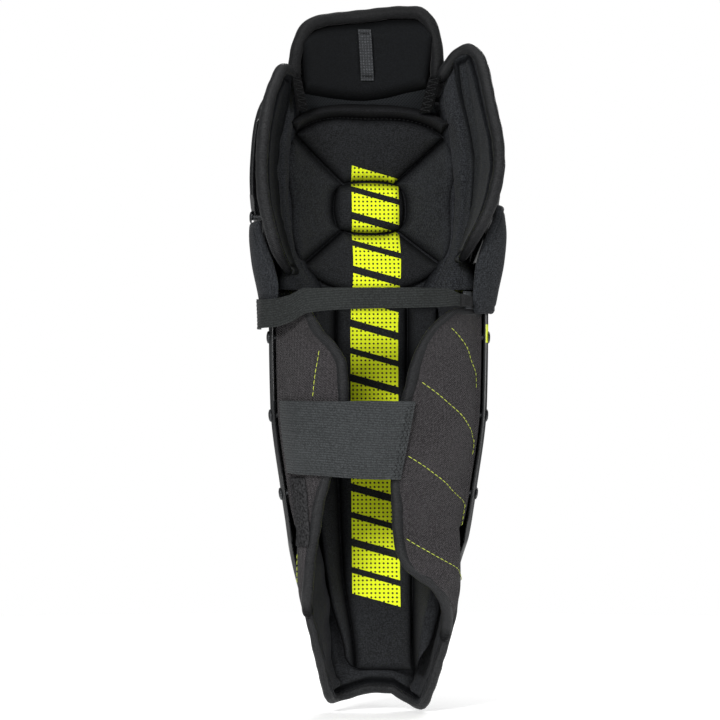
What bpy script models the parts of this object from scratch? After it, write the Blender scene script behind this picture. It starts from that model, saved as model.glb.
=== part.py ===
"""Ice hockey shin guard for the right leg.

A hard shin shell and knee cup carry a padded liner. Two padded wings flank the knee, a thigh guard
tilts on top, two knit wraps close round the calf, and two elastic straps hold it all on the leg.

Metres, +Z up. +Y is the front of the leg, -Y the open calf side, +X the outer side of the leg.
Most pieces lie on a form: a tapering ring round the leg, read by angle (0 at the front, positive
towards +X), by height, and by inset, the distance inwards from the form's own surface.
"""
import math
from bisect import bisect_right

import bmesh
import bpy
from mathutils import Matrix, Vector

# Driving dimensions
GAP = 0.0004            # between pieces that touch
SHELL_WALL = 0.003
LINER_WALL = 0.004
ROUNDNESS = 0.87        # 1 makes a form's ring elliptical, less makes it squarer
KNEE_CENTRE_Z = 0.3927  # centre of the kneecap pad

# Forms, one row for each height: height, half width, front depth, rear depth
SHIN_FORM = (
    (0.000, 0.038, 0.050, 0.034),
    (0.040, 0.050, 0.055, 0.038),
    (0.075, 0.057, 0.059, 0.041),
    (0.118, 0.066, 0.064, 0.047),
    (0.170, 0.0745, 0.069, 0.056),
    (0.240, 0.083, 0.074, 0.064),
    (0.300, 0.084, 0.077, 0.064),
    (0.350, 0.084, 0.079, 0.060),
)
CUP_FORM = (
    (0.322, 0.0875, 0.084, 0.060),
    (0.350, 0.092, 0.0925, 0.060),
    (0.380, 0.097, 0.0985, 0.060),
    (0.410, 0.0985, 0.101, 0.060),
    (0.440, 0.097, 0.098, 0.060),
    (0.475, 0.091, 0.088, 0.060),
    (0.486, 0.088, 0.083, 0.060),
)
KNEE_FORM = (
    (0.326, 0.074, 0.066, 0.050),
    (0.350, 0.079, 0.076, 0.050),
    (0.380, 0.086, 0.086, 0.050),
    (0.410, 0.089, 0.090, 0.050),
    (0.440, 0.088, 0.087, 0.050),
    (0.475, 0.080, 0.076, 0.050),
    (0.500, 0.076, 0.066, 0.050),
)
GUARD_FORM = (
    (0.297, 0.0885, 0.060, 0.042),
    (0.322, 0.0925, 0.060, 0.042),
    (0.350, 0.098, 0.060, 0.042),
    (0.369, 0.0995, 0.060, 0.042),
    (0.392, 0.0975, 0.060, 0.042),
)

# Hinges: a point on each axis, and the axis
KNEE_PIVOT = Vector((0.0, 0.012, 0.338))
THIGH_HINGE = Vector((0.0, 0.062, 0.474))
WING_HINGE = Vector((0.071, 0.031, 0.420))
WRAP_HINGE = Vector((0.075, -0.014, 0.300))
UPPER_STRAP_HINGE = Vector((0.060, -0.036, 0.316))
LOWER_STRAP_HINGE = Vector((0.0285, -0.0568, 0.210))

# Material of each kind of piece: linear base colour, roughness, metallic
FINISHES = {
    "shell_plastic": ((0.045, 0.047, 0.049), 0.30, 0.0),
    "rivet_steel": ((0.30, 0.31, 0.32), 0.35, 1.0),
    "impact_foam": ((0.060, 0.062, 0.066), 0.95, 0.0),
    "hook_fabric": ((0.018, 0.018, 0.019), 0.95, 0.0),
    "liner_fabric": ((0.019, 0.020, 0.021), 0.90, 0.0),
    "brushed_pad": ((0.022, 0.023, 0.024), 0.92, 0.0),
    "binding_tape": ((0.020, 0.021, 0.022), 0.85, 0.0),
    "wing_fabric": ((0.030, 0.031, 0.033), 0.90, 0.0),
    "calf_knit": ((0.050, 0.046, 0.048), 0.95, 0.0),
    "elastic_web": ((0.045, 0.048, 0.048), 0.80, 0.0),
    "stretch_mesh": ((0.035, 0.037, 0.039), 0.85, 0.0),
    "grey_webbing": ((0.036, 0.041, 0.046), 0.75, 0.0),
}


# ---------------------------------------------------------------- smooth tables and forms

def slope_at(points, index):
    """Slope of the smooth curve at one of its points, zero at a peak, so it never overshoots."""
    if index in (0, len(points) - 1):
        return 0.0
    before = (points[index][1] - points[index - 1][1]) / (points[index][0] - points[index - 1][0])
    after = (points[index + 1][1] - points[index][1]) / (points[index + 1][0] - points[index][0])
    if before * after <= 0.0:
        return 0.0
    return 2.0 * before * after / (before + after)


def smooth_value(points, place):
    """Height at one place of the smooth curve through (place, height) points."""
    place = min(max(place, points[0][0]), points[-1][0])
    index = min(bisect_right([point[0] for point in points], place), len(points) - 1)
    (start, low), (end, high) = points[index - 1], points[index]
    span = end - start
    t = (place - start) / span
    rise = high - low
    first = slope_at(points, index - 1) * span
    last = slope_at(points, index) * span
    return low + t * first + t * t * (3 * rise - 2 * first - last) + t ** 3 * (first + last - 2 * rise)


def straight_value(points, place):
    """The same, with straight runs between the points."""
    place = min(max(place, points[0][0]), points[-1][0])
    index = min(bisect_right([point[0] for point in points], place), len(points) - 1)
    (start, low), (end, high) = points[index - 1], points[index]
    return low + (high - low) * (place - start) / (end - start)


def form_size(form, height):
    """Half width, front depth and rear depth of a form at a height."""
    return [smooth_value([(row[0], row[column]) for row in form], height) for column in (1, 2, 3)]


def ring_point(form, degrees, height, inset):
    """Point on a form, by angle round the leg, height and inset."""
    half, front, rear = form_size(form, height)
    angle = math.radians(degrees)
    depth = front if math.cos(angle) > 0.0 else rear
    x = math.copysign((half - inset) * abs(math.sin(angle)) ** ROUNDNESS, math.sin(angle))
    y = math.copysign((depth - inset) * abs(math.cos(angle)) ** ROUNDNESS, math.cos(angle))
    return Vector((x, y, height))


def front_point(form, x, height, inset):
    """Point on the front half of a form, by its x."""
    half, front, _ = form_size(form, height)
    share = min(abs(x) / (half - inset), 0.999)
    y = (front - inset) * (1.0 - share ** (2.0 / ROUNDNESS)) ** (ROUNDNESS / 2.0)
    return Vector((x, y, height))


def outward_normal(form, degrees, height):
    """Unit normal of a form's surface."""
    across = ring_point(form, degrees + 1.0, height, 0.0) - ring_point(form, degrees - 1.0, height, 0.0)
    up = ring_point(form, degrees, height + 0.004, 0.0) - ring_point(form, degrees, height - 0.004, 0.0)
    return up.cross(across).normalized()


# ---------------------------------------------------------------- scene, materials, pieces

def clear_scene():
    """Remove the objects a new file starts with."""
    for thing in list(bpy.data.objects):
        bpy.data.objects.remove(thing, do_unlink=True)


def make_finish(name):
    """Principled material from the table of finishes."""
    colour, roughness, metallic = FINISHES[name]
    finish = bpy.data.materials.get(name) or bpy.data.materials.new(name)
    finish.use_nodes = True
    shader = finish.node_tree.nodes["Principled BSDF"]
    shader.inputs["Base Color"].default_value = (*colour, 1.0)
    shader.inputs["Roughness"].default_value = roughness
    shader.inputs["Metallic"].default_value = metallic
    return finish


def make_hinge(name, place, parent=None):
    """Empty on a joint's axis, which carries the pieces that turn about it."""
    hinge = bpy.data.objects.new(name, None)
    bpy.context.scene.collection.objects.link(hinge)
    hinge.parent = parent
    hinge.location = place - (world_place(parent) if parent else Vector())
    return hinge


def world_place(thing):
    """World position of an empty whose parents have no rotation."""
    place = thing.location.copy()
    while thing.parent:
        thing = thing.parent
        place += thing.location
    return place


def add_piece(name, finish, mesh, hinge):
    """Object for a mesh given in world coordinates, with its origin at its hinge."""
    mesh.transform(Matrix.Translation(-world_place(hinge)))
    mesh.materials.append(make_finish(finish))
    mesh.shade_smooth()
    mesh.set_sharp_from_angle(angle=math.radians(40.0))
    piece = bpy.data.objects.new(name, mesh)
    piece.parent = hinge
    bpy.context.scene.collection.objects.link(piece)
    return piece


def finish_mesh(name, work):
    """Mesh from a bmesh, with its faces pointing out."""
    bmesh.ops.recalc_face_normals(work, faces=work.faces)
    mesh = bpy.data.meshes.new(name)
    work.to_mesh(mesh)
    work.free()
    return mesh


# ---------------------------------------------------------------- closed shapes

def skin_between(name, outer, inner):
    """Closed solid between two equal grids of points, each a list of columns."""
    work = bmesh.new()
    columns, rows = len(outer), len(outer[0])
    skins = [[[work.verts.new(point) for point in column] for column in grid] for grid in (outer, inner)]
    for skin in skins:
        for i in range(columns - 1):
            for j in range(rows - 1):
                work.faces.new((skin[i][j], skin[i][j + 1], skin[i + 1][j + 1], skin[i + 1][j]))
    rim = [(i, 0) for i in range(columns)]
    rim += [(columns - 1, j) for j in range(1, rows)]
    rim += [(i, rows - 1) for i in range(columns - 2, -1, -1)]
    rim += [(0, j) for j in range(rows - 2, 0, -1)]
    for (i, j), (k, m) in zip(rim, rim[1:] + rim[:1]):
        work.faces.new((skins[0][i][j], skins[0][k][m], skins[1][k][m], skins[1][i][j]))
    return finish_mesh(name, work)


def patch(name, columns, rows, place, outer, inner):
    """Closed solid from place(u, v, inset), with u and v from 0 to 1 and two insets.

    Each inset is a number or a function of u and v.
    """
    def grid(inset):
        depth = inset if callable(inset) else (lambda u, v: inset)
        steps_u = [i / (columns - 1) for i in range(columns)]
        steps_v = [j / (rows - 1) for j in range(rows)]
        return [[place(u, v, depth(u, v)) for v in steps_v] for u in steps_u]
    return skin_between(name, grid(outer), grid(inner))


def add_patch(name, finish, counts, place, outer, inner, hinge):
    """Piece made from a patch, with its counts of columns and rows."""
    return add_piece(name, finish, patch(name, *counts, place, outer, inner), hinge)


def crown(edge, middle):
    """Inset that is edge round a pad's rim and middle at its centre."""
    return lambda u, v: edge + (middle - edge) * math.sin(math.pi * u) * math.sin(math.pi * v)


def mix(low, high, t):
    """Value or point a share t of the way from low to high."""
    return low + (high - low) * t


def add_roll(name, finish, path, radius, hinge):
    """Round roll of binding tape along a path of points."""
    curve = bpy.data.curves.new(name, "CURVE")
    curve.dimensions = "3D"
    curve.bevel_depth = radius
    curve.bevel_resolution = 1
    curve.render_resolution_u = 0
    curve.use_fill_caps = True
    spline = curve.splines.new("POLY")
    spline.points.add(len(path) - 1)
    for point, place in zip(spline.points, path):
        point.co = (*(place - world_place(hinge)), 1.0)
    curve.materials.append(make_finish(finish))
    roll = bpy.data.objects.new(name, curve)
    roll.parent = hinge
    bpy.context.scene.collection.objects.link(roll)
    return roll


def path_distance(point, path):
    """Distance in the plane from a point to a line of points."""
    nearest = math.inf
    for start, end in zip(path, path[1:]):
        along = end - start
        t = max(0.0, min(1.0, (point - start).dot(along) / along.length_squared))
        nearest = min(nearest, (start + along * t - point).length)
    return nearest


def walk_to(path, start, step, clearance):
    """Last point, walking from start by steps, that keeps its clearance to a line of points."""
    here = start.copy()
    for _ in range(2000):
        if path_distance(here + step, path) < clearance:
            return here
        here = here + step
    return here


def evenly_along(path, spacing):
    """The same line of points, with points at an even spacing."""
    lengths = [0.0]
    for start, end in zip(path, path[1:]):
        lengths.append(lengths[-1] + (end - start).length)
    count = max(2, round(lengths[-1] / spacing) + 1)
    axes = [[(length, point[axis]) for length, point in zip(lengths, path)] for axis in range(len(path[0]))]
    places = [lengths[-1] * i / (count - 1) for i in range(count)]
    return [Vector([smooth_value(table, place) for table in axes]) for place in places]


# ---------------------------------------------------------------- rivets and their holes

RIVET_HEAD_R = 0.005
RIVET_HEAD_H = 0.0016
RIVET_SHANK_R = 0.0022
RIVET_HOLE_R = 0.0027
PIVOT_SHANK_R = 0.0034
PIVOT_HOLE_R = 0.0039
RIVET_STAND_OFF = 0.0007     # clear of the curved wall under the head
ROUND_SIDES = 14


def add_turned(name, finish, profile, place, axis, hinge):
    """Solid turned from (height along the axis, radius) pairs, closed flat at both ends."""
    work = bmesh.new()
    turn = axis.to_track_quat("Z", "Y").to_matrix().to_4x4()
    turn.translation = place
    rings = []
    for height, radius in profile:
        ring = []
        for k in range(ROUND_SIDES):
            angle = 2.0 * math.pi * k / ROUND_SIDES
            spot = Vector((radius * math.cos(angle), radius * math.sin(angle), height))
            ring.append(work.verts.new(turn @ spot))
        rings.append(ring)
    for low, high in zip(rings, rings[1:]):
        for k in range(ROUND_SIDES):
            nxt = (k + 1) % ROUND_SIDES
            work.faces.new((low[k], low[nxt], high[nxt], high[k]))
    work.faces.new(rings[0])
    work.faces.new(rings[-1])
    mesh = finish_mesh(name, work)
    if finish:
        return add_piece(name, finish, mesh, hinge)
    cutter = bpy.data.objects.new(name, mesh)
    cutter.hide_render = True
    cutter.display_type = "WIRE"
    bpy.context.scene.collection.objects.link(cutter)
    return cutter


def add_rivet(name, place, axis, grip, hinge, pivot=False):
    """Domed rivet through the wall at place, and the cutter for its hole."""
    shank = PIVOT_SHANK_R if pivot else RIVET_SHANK_R
    hole = PIVOT_HOLE_R if pivot else RIVET_HOLE_R
    profile = (
        (-grip, shank),
        (RIVET_STAND_OFF, shank),
        (RIVET_STAND_OFF, RIVET_HEAD_R),
        (RIVET_STAND_OFF + RIVET_HEAD_H * 0.6, RIVET_HEAD_R * 0.9),
        (RIVET_STAND_OFF + RIVET_HEAD_H, RIVET_HEAD_R * 0.5),
    )
    add_turned(name, "rivet_steel", profile, place, axis, hinge)
    cutter_profile = ((-grip - 0.002, hole), (0.004, hole))
    return add_turned(name + "_hole", None, cutter_profile, place, axis, hinge)


def drill(piece, cutters):
    """Cut rivet holes through a piece."""
    for cutter in cutters:
        cut = piece.modifiers.new("hole", "BOOLEAN")
        cut.operation = "DIFFERENCE"
        cut.solver = "EXACT"
        cut.object = cutter


# ---------------------------------------------------------------- shin shell, foam and liner

SHELL_RIM_ANGLE = 96.0
SHELL_FOOT = ((0, 0.050), (30, 0.042), (50, 0.045), (58, 0.055), (68, 0.075), (76, 0.100),
              (82, 0.118), (92, 0.135), (96, 0.150))
SHELL_HEAD = ((0, 0.346), (60, 0.346), (70, 0.348), (96, 0.352))
FOAM_RIM_ANGLE = 84.0
FOAM_FOOT = ((0, 0.064), (30, 0.056), (50, 0.062), (60, 0.085), (68, 0.150), (84, 0.164))
FOAM_TOP_Z = 0.318
FOAM_INSETS = (0.0039, 0.0074)
HOOK_INSETS = (0.0083, 0.0092)
HOOK_HALF_ANGLE = 20.0
LINER_INSET = 0.0095
LINER_TOP_Z = 0.318
LINER_EDGE_R = 0.0034
LINER_EDGE_DEPTH = 0.0029
LINER_EDGE_TOP_Z = 0.290
LINER_RIM_ANGLE = 98.0
LINER_FLARE_START = 62.0
LINER_FLARE_SPAN = 36.0
LINER_FLARE = ((0.060, 0.008), (0.075, 0.010), (0.090, 0.012), (0.118, 0.007), (0.135, 0.0035), (0.150, 0.0))
LINER_ANKLE_START = 18.0
LINER_ANKLE_SPAN = 34.0
LINER_ANKLE_FLARE = ((0.000, 0.0110), (0.018, 0.0080), (0.034, 0.0034), (0.050, 0.0))
LINER_FOOT_RIGHT = ((0, 0.0165), (24, 0.0160), (34, 0.0125), (44, 0.0083), (54, 0.0050), (62, 0.0042),
                    (70, 0.0080), (78, 0.0180), (85, 0.031), (90, 0.045), (95, 0.060), (98, 0.076))
LINER_FOOT_LEFT = ((0, 0.0165), (22, 0.0145), (36, 0.0118), (50, 0.0098), (60, 0.0096), (68, 0.0120),
                   (76, 0.0190), (84, 0.032), (90, 0.045), (95, 0.060), (98, 0.076))
DEVELOPED_RADIUS = 0.058     # turns angles near the foot into lengths


def eased(degrees, start, span):
    """0 up to an angle from the front, and 1 a span past it."""
    t = min(max((abs(degrees) - start) / span, 0.0), 1.0)
    return t * t * (3.0 - 2.0 * t)


def liner_inset(degrees, height):
    """Inset of the liner's outer face, which flares past the shell's rim and round the ankle."""
    side = smooth_value(LINER_FLARE, height) * eased(degrees, LINER_FLARE_START, LINER_FLARE_SPAN)
    ankle = smooth_value(LINER_ANKLE_FLARE, height) * eased(degrees, LINER_ANKLE_START, LINER_ANKLE_SPAN)
    return LINER_INSET - max(side, ankle)


def liner_foot(degrees):
    """Height of the middle of the binding along the liner's foot."""
    table = LINER_FOOT_RIGHT if degrees > 0 else LINER_FOOT_LEFT
    return smooth_value(table, abs(degrees))


def developed(degrees, height):
    """Place on the liner laid flat."""
    return Vector((math.radians(degrees) * DEVELOPED_RADIUS, height))


def liner_edge_path():
    """The liner's edge laid flat, up one side, along the foot and up the other."""
    angles = [LINER_RIM_ANGLE * (i / 28 - 1.0) for i in range(57)]
    foot = [developed(angle, liner_foot(angle)) for angle in angles]
    left_top = developed(-LINER_RIM_ANGLE, LINER_EDGE_TOP_Z)
    right_top = developed(LINER_RIM_ANGLE, LINER_EDGE_TOP_Z)
    return [left_top] + foot + [right_top]


def build_shell(hinge):
    """Moulded shell over the front and sides of the shin, drilled for its rivets."""
    def place(u, v, inset):
        angle = mix(-SHELL_RIM_ANGLE, SHELL_RIM_ANGLE, u)
        low = smooth_value(SHELL_FOOT, abs(angle))
        high = straight_value(SHELL_HEAD, abs(angle))
        return ring_point(SHIN_FORM, angle, mix(low, high, v), inset)
    return add_patch("shin_shell", "shell_plastic", (21, 13), place, 0.0, SHELL_WALL, hinge)


def build_shin_foam(hinge):
    """Impact foam inside the shell, and the hook patches that hold the liner to it."""
    def place(u, v, inset):
        angle = mix(-FOAM_RIM_ANGLE, FOAM_RIM_ANGLE, u)
        low = smooth_value(FOAM_FOOT, abs(angle))
        return ring_point(SHIN_FORM, angle, mix(low, FOAM_TOP_Z, v), inset)
    foam = patch("shin_impact_foam", 15, 7, place, *FOAM_INSETS)
    add_piece("shin_impact_foam", "impact_foam", foam, hinge)
    for name, low, high in (("liner_hook_lower", 0.090, 0.130), ("liner_hook_upper", 0.250, 0.290)):
        def hook_place(u, v, inset, low=low, high=high):
            angle = mix(-HOOK_HALF_ANGLE, HOOK_HALF_ANGLE, u)
            return ring_point(SHIN_FORM, angle, mix(low, high, v), inset)
        add_patch(name, "hook_fabric", (7, 3), hook_place, *HOOK_INSETS, hinge)


def build_liner(hinge):
    """Fabric-faced backing of the shin liner, with binding round its edge."""
    path = liner_edge_path()
    clearance = LINER_EDGE_R + GAP + 0.0008
    side = LINER_RIM_ANGLE - math.degrees((clearance + GAP) / DEVELOPED_RADIUS)

    def place(u, v, inset):
        angle = mix(-side, side, u)
        start = developed(angle, 0.200)
        low = walk_to(path, start, Vector((0.0, -0.0005)), clearance).y
        height = mix(low, LINER_TOP_Z, v ** 1.5)
        return ring_point(SHIN_FORM, angle, height, liner_inset(angle, height) + inset)
    backing = patch("shin_liner_backing", 23, 11, place, 0.0, LINER_WALL)
    add_piece("shin_liner_backing", "liner_fabric", backing, hinge)

    roll = []
    for spot in evenly_along(path, 0.013):
        angle = math.degrees(spot.x / DEVELOPED_RADIUS)
        inset = liner_inset(angle, spot.y) + LINER_EDGE_DEPTH
        roll.append(ring_point(SHIN_FORM, angle, spot.y, inset))
    add_roll("shin_liner_binding", "binding_tape", roll, LINER_EDGE_R, hinge)


# ---------------------------------------------------------------- shin pads

PAD_INSETS = (0.0145, 0.0215)
SEAM = 0.0022                # between neighbouring pads
CENTRE_PAD_LEFT = ((0.034, -0.015), (0.110, -0.024), (0.200, -0.027), (0.300, -0.028))
CENTRE_PAD_RIGHT = ((0.034, 0.029), (0.110, 0.030), (0.200, 0.027), (0.300, 0.028))
LEFT_PAD_SIDE = ((0.041, -0.024), (0.088, -0.036), (0.142, -0.043), (0.200, -0.047), (0.310, -0.050))
RIGHT_PAD_SIDE = ((0.038, 0.0325), (0.057, 0.0425), (0.095, 0.051), (0.142, 0.053), (0.200, 0.052),
                  (0.310, 0.051))
PAD_LOW_Z = 0.036
SIDE_PAD_LOW_Z = 0.050
PAD_HIGH_Z = 0.314


def build_shin_pads(hinge):
    """Three long pads quilted on the liner."""
    pads = (
        ("shin_pad_centre", CENTRE_PAD_LEFT, CENTRE_PAD_RIGHT, PAD_LOW_Z),
        ("shin_pad_left", LEFT_PAD_SIDE, CENTRE_PAD_LEFT, SIDE_PAD_LOW_Z),
        ("shin_pad_right", CENTRE_PAD_RIGHT, RIGHT_PAD_SIDE, SIDE_PAD_LOW_Z),
    )
    for name, left, right, low in pads:
        def place(u, v, inset, left=left, right=right, low=low):
            height = mix(low, PAD_HIGH_Z, v)
            start = smooth_value(left, height) + SEAM / 2
            end = smooth_value(right, height) - SEAM / 2
            return front_point(SHIN_FORM, mix(start, end, u), height, inset)
        mesh = patch(name, 5, 9, place, PAD_INSETS[0], crown(PAD_INSETS[0] + 0.004, PAD_INSETS[1]))
        add_piece(name, "brushed_pad", mesh, hinge)


# ---------------------------------------------------------------- side guards and strap anchors

GUARD_ROOT_ANGLE = 86.0
GUARD_WALL = ((0.297, 0.003), (0.322, 0.005), (0.350, 0.008), (0.392, 0.008))
GUARD_EDGE_THIN = 0.55       # share of the wall lost at the rear edge
RIGHT_GUARD_EDGE = ((0.308, 0.072), (0.318, 0.0715), (0.342, 0.0745), (0.357, 0.0800),
                    (0.369, 0.0885), (0.388, 0.0935))
LEFT_GUARD_EDGE = ((0.300, 0.080), (0.326, 0.080), (0.346, 0.084), (0.363, 0.0895), (0.376, 0.0925))
ANCHOR_ANGLES = (88.0, 99.0)
ANCHOR_INSETS = (0.0040, 0.0084)
ANCHOR_Z = (0.156, 0.306)
TAB_ANGLES = (89.0, 124.0)
TAB_WALL = (0.0048, 0.0072)
TAB_INSET_STEP = ((89, 0.0), (96, 0.0004), (110, 0.0034), (124, 0.0036))
TAB_Z = (0.3115, 0.3250)


def build_side_guard(name, side, edge, top, hinge):
    """Padded guard that wraps round one side of the knee joint, outside the shell."""
    def place(u, v, inset):
        height = mix(edge[0][0], top, v)
        half, _, _ = form_size(GUARD_FORM, height)
        share = (smooth_value(edge, height) / half) ** (1.0 / ROUNDNESS)
        end = 180.0 - math.degrees(math.asin(share))
        return ring_point(GUARD_FORM, side * mix(GUARD_ROOT_ANGLE, end, u), height, inset)

    def inner(u, v):
        height = mix(edge[0][0], top, v)
        return smooth_value(GUARD_WALL, height) * (1.0 - GUARD_EDGE_THIN * u * u)
    add_patch(name, "wing_fabric", (8, 8), place, 0.0, inner, hinge)


def build_anchors(hinge):
    """Strips that the calf wraps are riveted to, and the tab that the upper strap is sewn to."""
    anchors = []
    for name, side in (("left_wrap_anchor", -1), ("right_wrap_anchor", 1)):
        def place(u, v, inset, side=side):
            angle = side * mix(*ANCHOR_ANGLES, u)
            return ring_point(SHIN_FORM, angle, mix(*ANCHOR_Z, v), inset)
        anchors.append(add_patch(name, "grey_webbing", (3, 7), place, *ANCHOR_INSETS, hinge))

    def tab_place(u, v, inset):
        angle = mix(*TAB_ANGLES, u)
        return ring_point(SHIN_FORM, angle, mix(*TAB_Z, v), inset + smooth_value(TAB_INSET_STEP, angle))
    add_patch("upper_strap_anchor", "grey_webbing", (7, 2), tab_place, *TAB_WALL, hinge)
    return anchors


ANCHOR_RIVET_ANGLE = 93.0
ANCHOR_RIVET_Z = (("lower", 0.170), ("middle", 0.230), ("upper", 0.290))
ANCHOR_RIVET_GRIP = 0.0083


def build_shell_rivets(hinge):
    """Rivets that hold the wrap anchors to the shell."""
    cutters = []
    for side_name, side in (("left", -1), ("right", 1)):
        for level, height in ANCHOR_RIVET_Z:
            name = f"{side_name}_anchor_rivet_{level}"
            place = ring_point(SHIN_FORM, side * ANCHOR_RIVET_ANGLE, height, 0.0)
            axis = outward_normal(SHIN_FORM, side * ANCHOR_RIVET_ANGLE, height)
            cutters.append(add_rivet(name, place, axis, ANCHOR_RIVET_GRIP, hinge))
    return cutters


# ---------------------------------------------------------------- knee: cup, foam, arms, liner

CUP_RIM_ANGLE = 80.0
CUP_FOOT = ((0, 0.322), (42, 0.322), (52, 0.328), (60, 0.346), (70, 0.374), (77, 0.388), (80, 0.400))
CUP_HEAD = ((0, 0.484), (56, 0.484), (68, 0.478), (76, 0.468), (80, 0.458))
KNEE_FOAM_INSETS = (0.0039, 0.0090)
KNEE_FOAM_ANGLE = 56.0
KNEE_FOAM_Z = (0.356, 0.468)
KNEE_LINER_ANGLE = 72.0
KNEE_LINER_FOOT = ((0, 0.327), (40, 0.328), (72, 0.347))
KNEE_LINER_HEAD = ((0, 0.4775), (50, 0.474), (72, 0.467))
ARM_INSET_X = 0.0852
ARM_WALL = 0.0025
ARM_TOP = (0.030, 0.383)     # y and z of the rivet at the arm's top
ARM_FOOT_R = 0.008
ARM_TOP_R = 0.0065
CUP_RIVET_X = 0.0950
CUP_RIVET_GRIP = 0.0100
PIVOT_X = 0.0877
PIVOT_GRIP = 0.0075


def build_knee_cup(hinge):
    """Hard cup over the kneecap, with a tongue that laps over the shin shell."""
    def place(u, v, inset):
        angle = mix(-CUP_RIM_ANGLE, CUP_RIM_ANGLE, u)
        low = smooth_value(CUP_FOOT, abs(angle))
        high = smooth_value(CUP_HEAD, abs(angle))
        return ring_point(CUP_FORM, angle, mix(low, high, v), inset)
    cup = add_patch("knee_cup", "shell_plastic", (19, 9), place, 0.0, SHELL_WALL, hinge)

    def foam_place(u, v, inset):
        angle = mix(-KNEE_FOAM_ANGLE, KNEE_FOAM_ANGLE, u)
        return ring_point(CUP_FORM, angle, mix(*KNEE_FOAM_Z, v), inset)
    foam = patch("knee_impact_foam", 13, 7, foam_place, *KNEE_FOAM_INSETS)
    add_piece("knee_impact_foam", "impact_foam", foam, hinge)
    return cup


def arm_outline():
    """Outline of a hinge arm in y and z: round ends on the pivot and on the cup rivet."""
    foot = Vector((KNEE_PIVOT.y, KNEE_PIVOT.z))
    top = Vector(ARM_TOP)
    lean = math.atan2(top.y - foot.y, top.x - foot.x)
    points = []
    ends = ((foot, ARM_FOOT_R, lean + math.pi / 2), (top, ARM_TOP_R, lean - math.pi / 2))
    for centre, radius, start in ends:
        for k in range(9):
            angle = start + math.pi * k / 8
            points.append(centre + Vector((math.cos(angle), math.sin(angle))) * radius)
    return points


def build_hinge_arm(name, side, hinge):
    """Flat arm that carries the knee cup on the shell's pivot."""
    work = bmesh.new()
    near = [work.verts.new((side * ARM_INSET_X, spot.x, spot.y)) for spot in arm_outline()]
    face = work.faces.new(near)
    made = bmesh.ops.extrude_face_region(work, geom=[face])
    moved = [item for item in made["geom"] if isinstance(item, bmesh.types.BMVert)]
    bmesh.ops.translate(work, verts=moved, vec=(side * ARM_WALL, 0.0, 0.0))
    return add_piece(name, "shell_plastic", finish_mesh(name, work), hinge)


def build_knee_liner(hinge):
    """Backing of the knee liner."""
    def place(u, v, inset):
        angle = mix(-KNEE_LINER_ANGLE, KNEE_LINER_ANGLE, u)
        low = smooth_value(KNEE_LINER_FOOT, abs(angle))
        high = smooth_value(KNEE_LINER_HEAD, abs(angle))
        return ring_point(KNEE_FORM, angle, mix(low, high, v), inset)
    backing = patch("knee_liner_backing", 17, 9, place, 0.0, LINER_WALL)
    add_piece("knee_liner_backing", "liner_fabric", backing, hinge)


# Knee pads: bearings in degrees from straight up, clockwise as seen from behind, and radii
KNEE_PAD_RADIUS = ((0, 0.0695), (47, 0.0790), (90, 0.0630), (130, 0.0710), (180, 0.0670),
                   (230, 0.0710), (270, 0.0640), (313, 0.0790), (360, 0.0695))
DISC_HALF = (0.0278, 0.0200)
KNEE_PAD_INSETS = (0.0052, 0.0150)
KNEE_ROLL_RADIUS = ((-47, 0.0890), (0, 0.0815), (47, 0.0890))
KNEE_ROLL_BEARING = 42.0
KNEE_ROLL_INSET = 0.0160


def disc_radius(bearing):
    """Radius of the kneecap pad's outline, a rounded rectangle."""
    angle = math.radians(bearing)
    wide = abs(math.sin(angle) / DISC_HALF[0]) ** 3
    tall = abs(math.cos(angle) / DISC_HALF[1]) ** 3
    return (wide + tall) ** (-1.0 / 3.0)


def knee_spot(bearing, radius, inset):
    """Point on the knee liner by bearing and radius from the kneecap."""
    angle = math.radians(bearing)
    return front_point(KNEE_FORM, radius * math.sin(angle), KNEE_CENTRE_Z + radius * math.cos(angle), inset)


def build_knee_pads(hinge):
    """Four petals round a kneecap pad, and the roll over them."""
    petals = (("top", -47, 47), ("right", 47, 130), ("bottom", 130, 230), ("left", 230, 313))
    for position, start, end in petals:
        def place(u, v, inset, start=start, end=end):
            middle = mix(start, end, u)
            inner = disc_radius(middle) + SEAM
            outer = smooth_value(KNEE_PAD_RADIUS, middle % 360)
            radius = mix(inner, outer, v)
            trim = math.degrees(SEAM / 2 / radius)
            return knee_spot(mix(start + trim, end - trim, u), radius, inset)
        name = "knee_pad_" + position
        mesh = patch(name, 9, 5, place, KNEE_PAD_INSETS[0], crown(0.0100, KNEE_PAD_INSETS[1]))
        add_piece(name, "brushed_pad", mesh, hinge)

    def disc_place(u, v, inset):
        x = (2 * u - 1) * DISC_HALF[0] * (1 - 0.12 * (2 * v - 1) ** 2)
        height = (2 * v - 1) * DISC_HALF[1] * (1 - 0.12 * (2 * u - 1) ** 2)
        return front_point(KNEE_FORM, x * 0.93, KNEE_CENTRE_Z + height * 0.93, inset)
    disc = patch("knee_pad_kneecap", 7, 7, disc_place, KNEE_PAD_INSETS[0], crown(0.0100, KNEE_PAD_INSETS[1]))
    add_piece("knee_pad_kneecap", "brushed_pad", disc, hinge)

    def roll_place(u, v, inset):
        bearing = mix(-KNEE_ROLL_BEARING, KNEE_ROLL_BEARING, u)
        inner = smooth_value(KNEE_PAD_RADIUS, bearing % 360) + SEAM
        return knee_spot(bearing, mix(inner, smooth_value(KNEE_ROLL_RADIUS, bearing), v), inset)
    roll = patch("knee_roll", 13, 4, roll_place, KNEE_PAD_INSETS[0], crown(0.0110, KNEE_ROLL_INSET))
    add_piece("knee_roll", "brushed_pad", roll, hinge)


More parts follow.
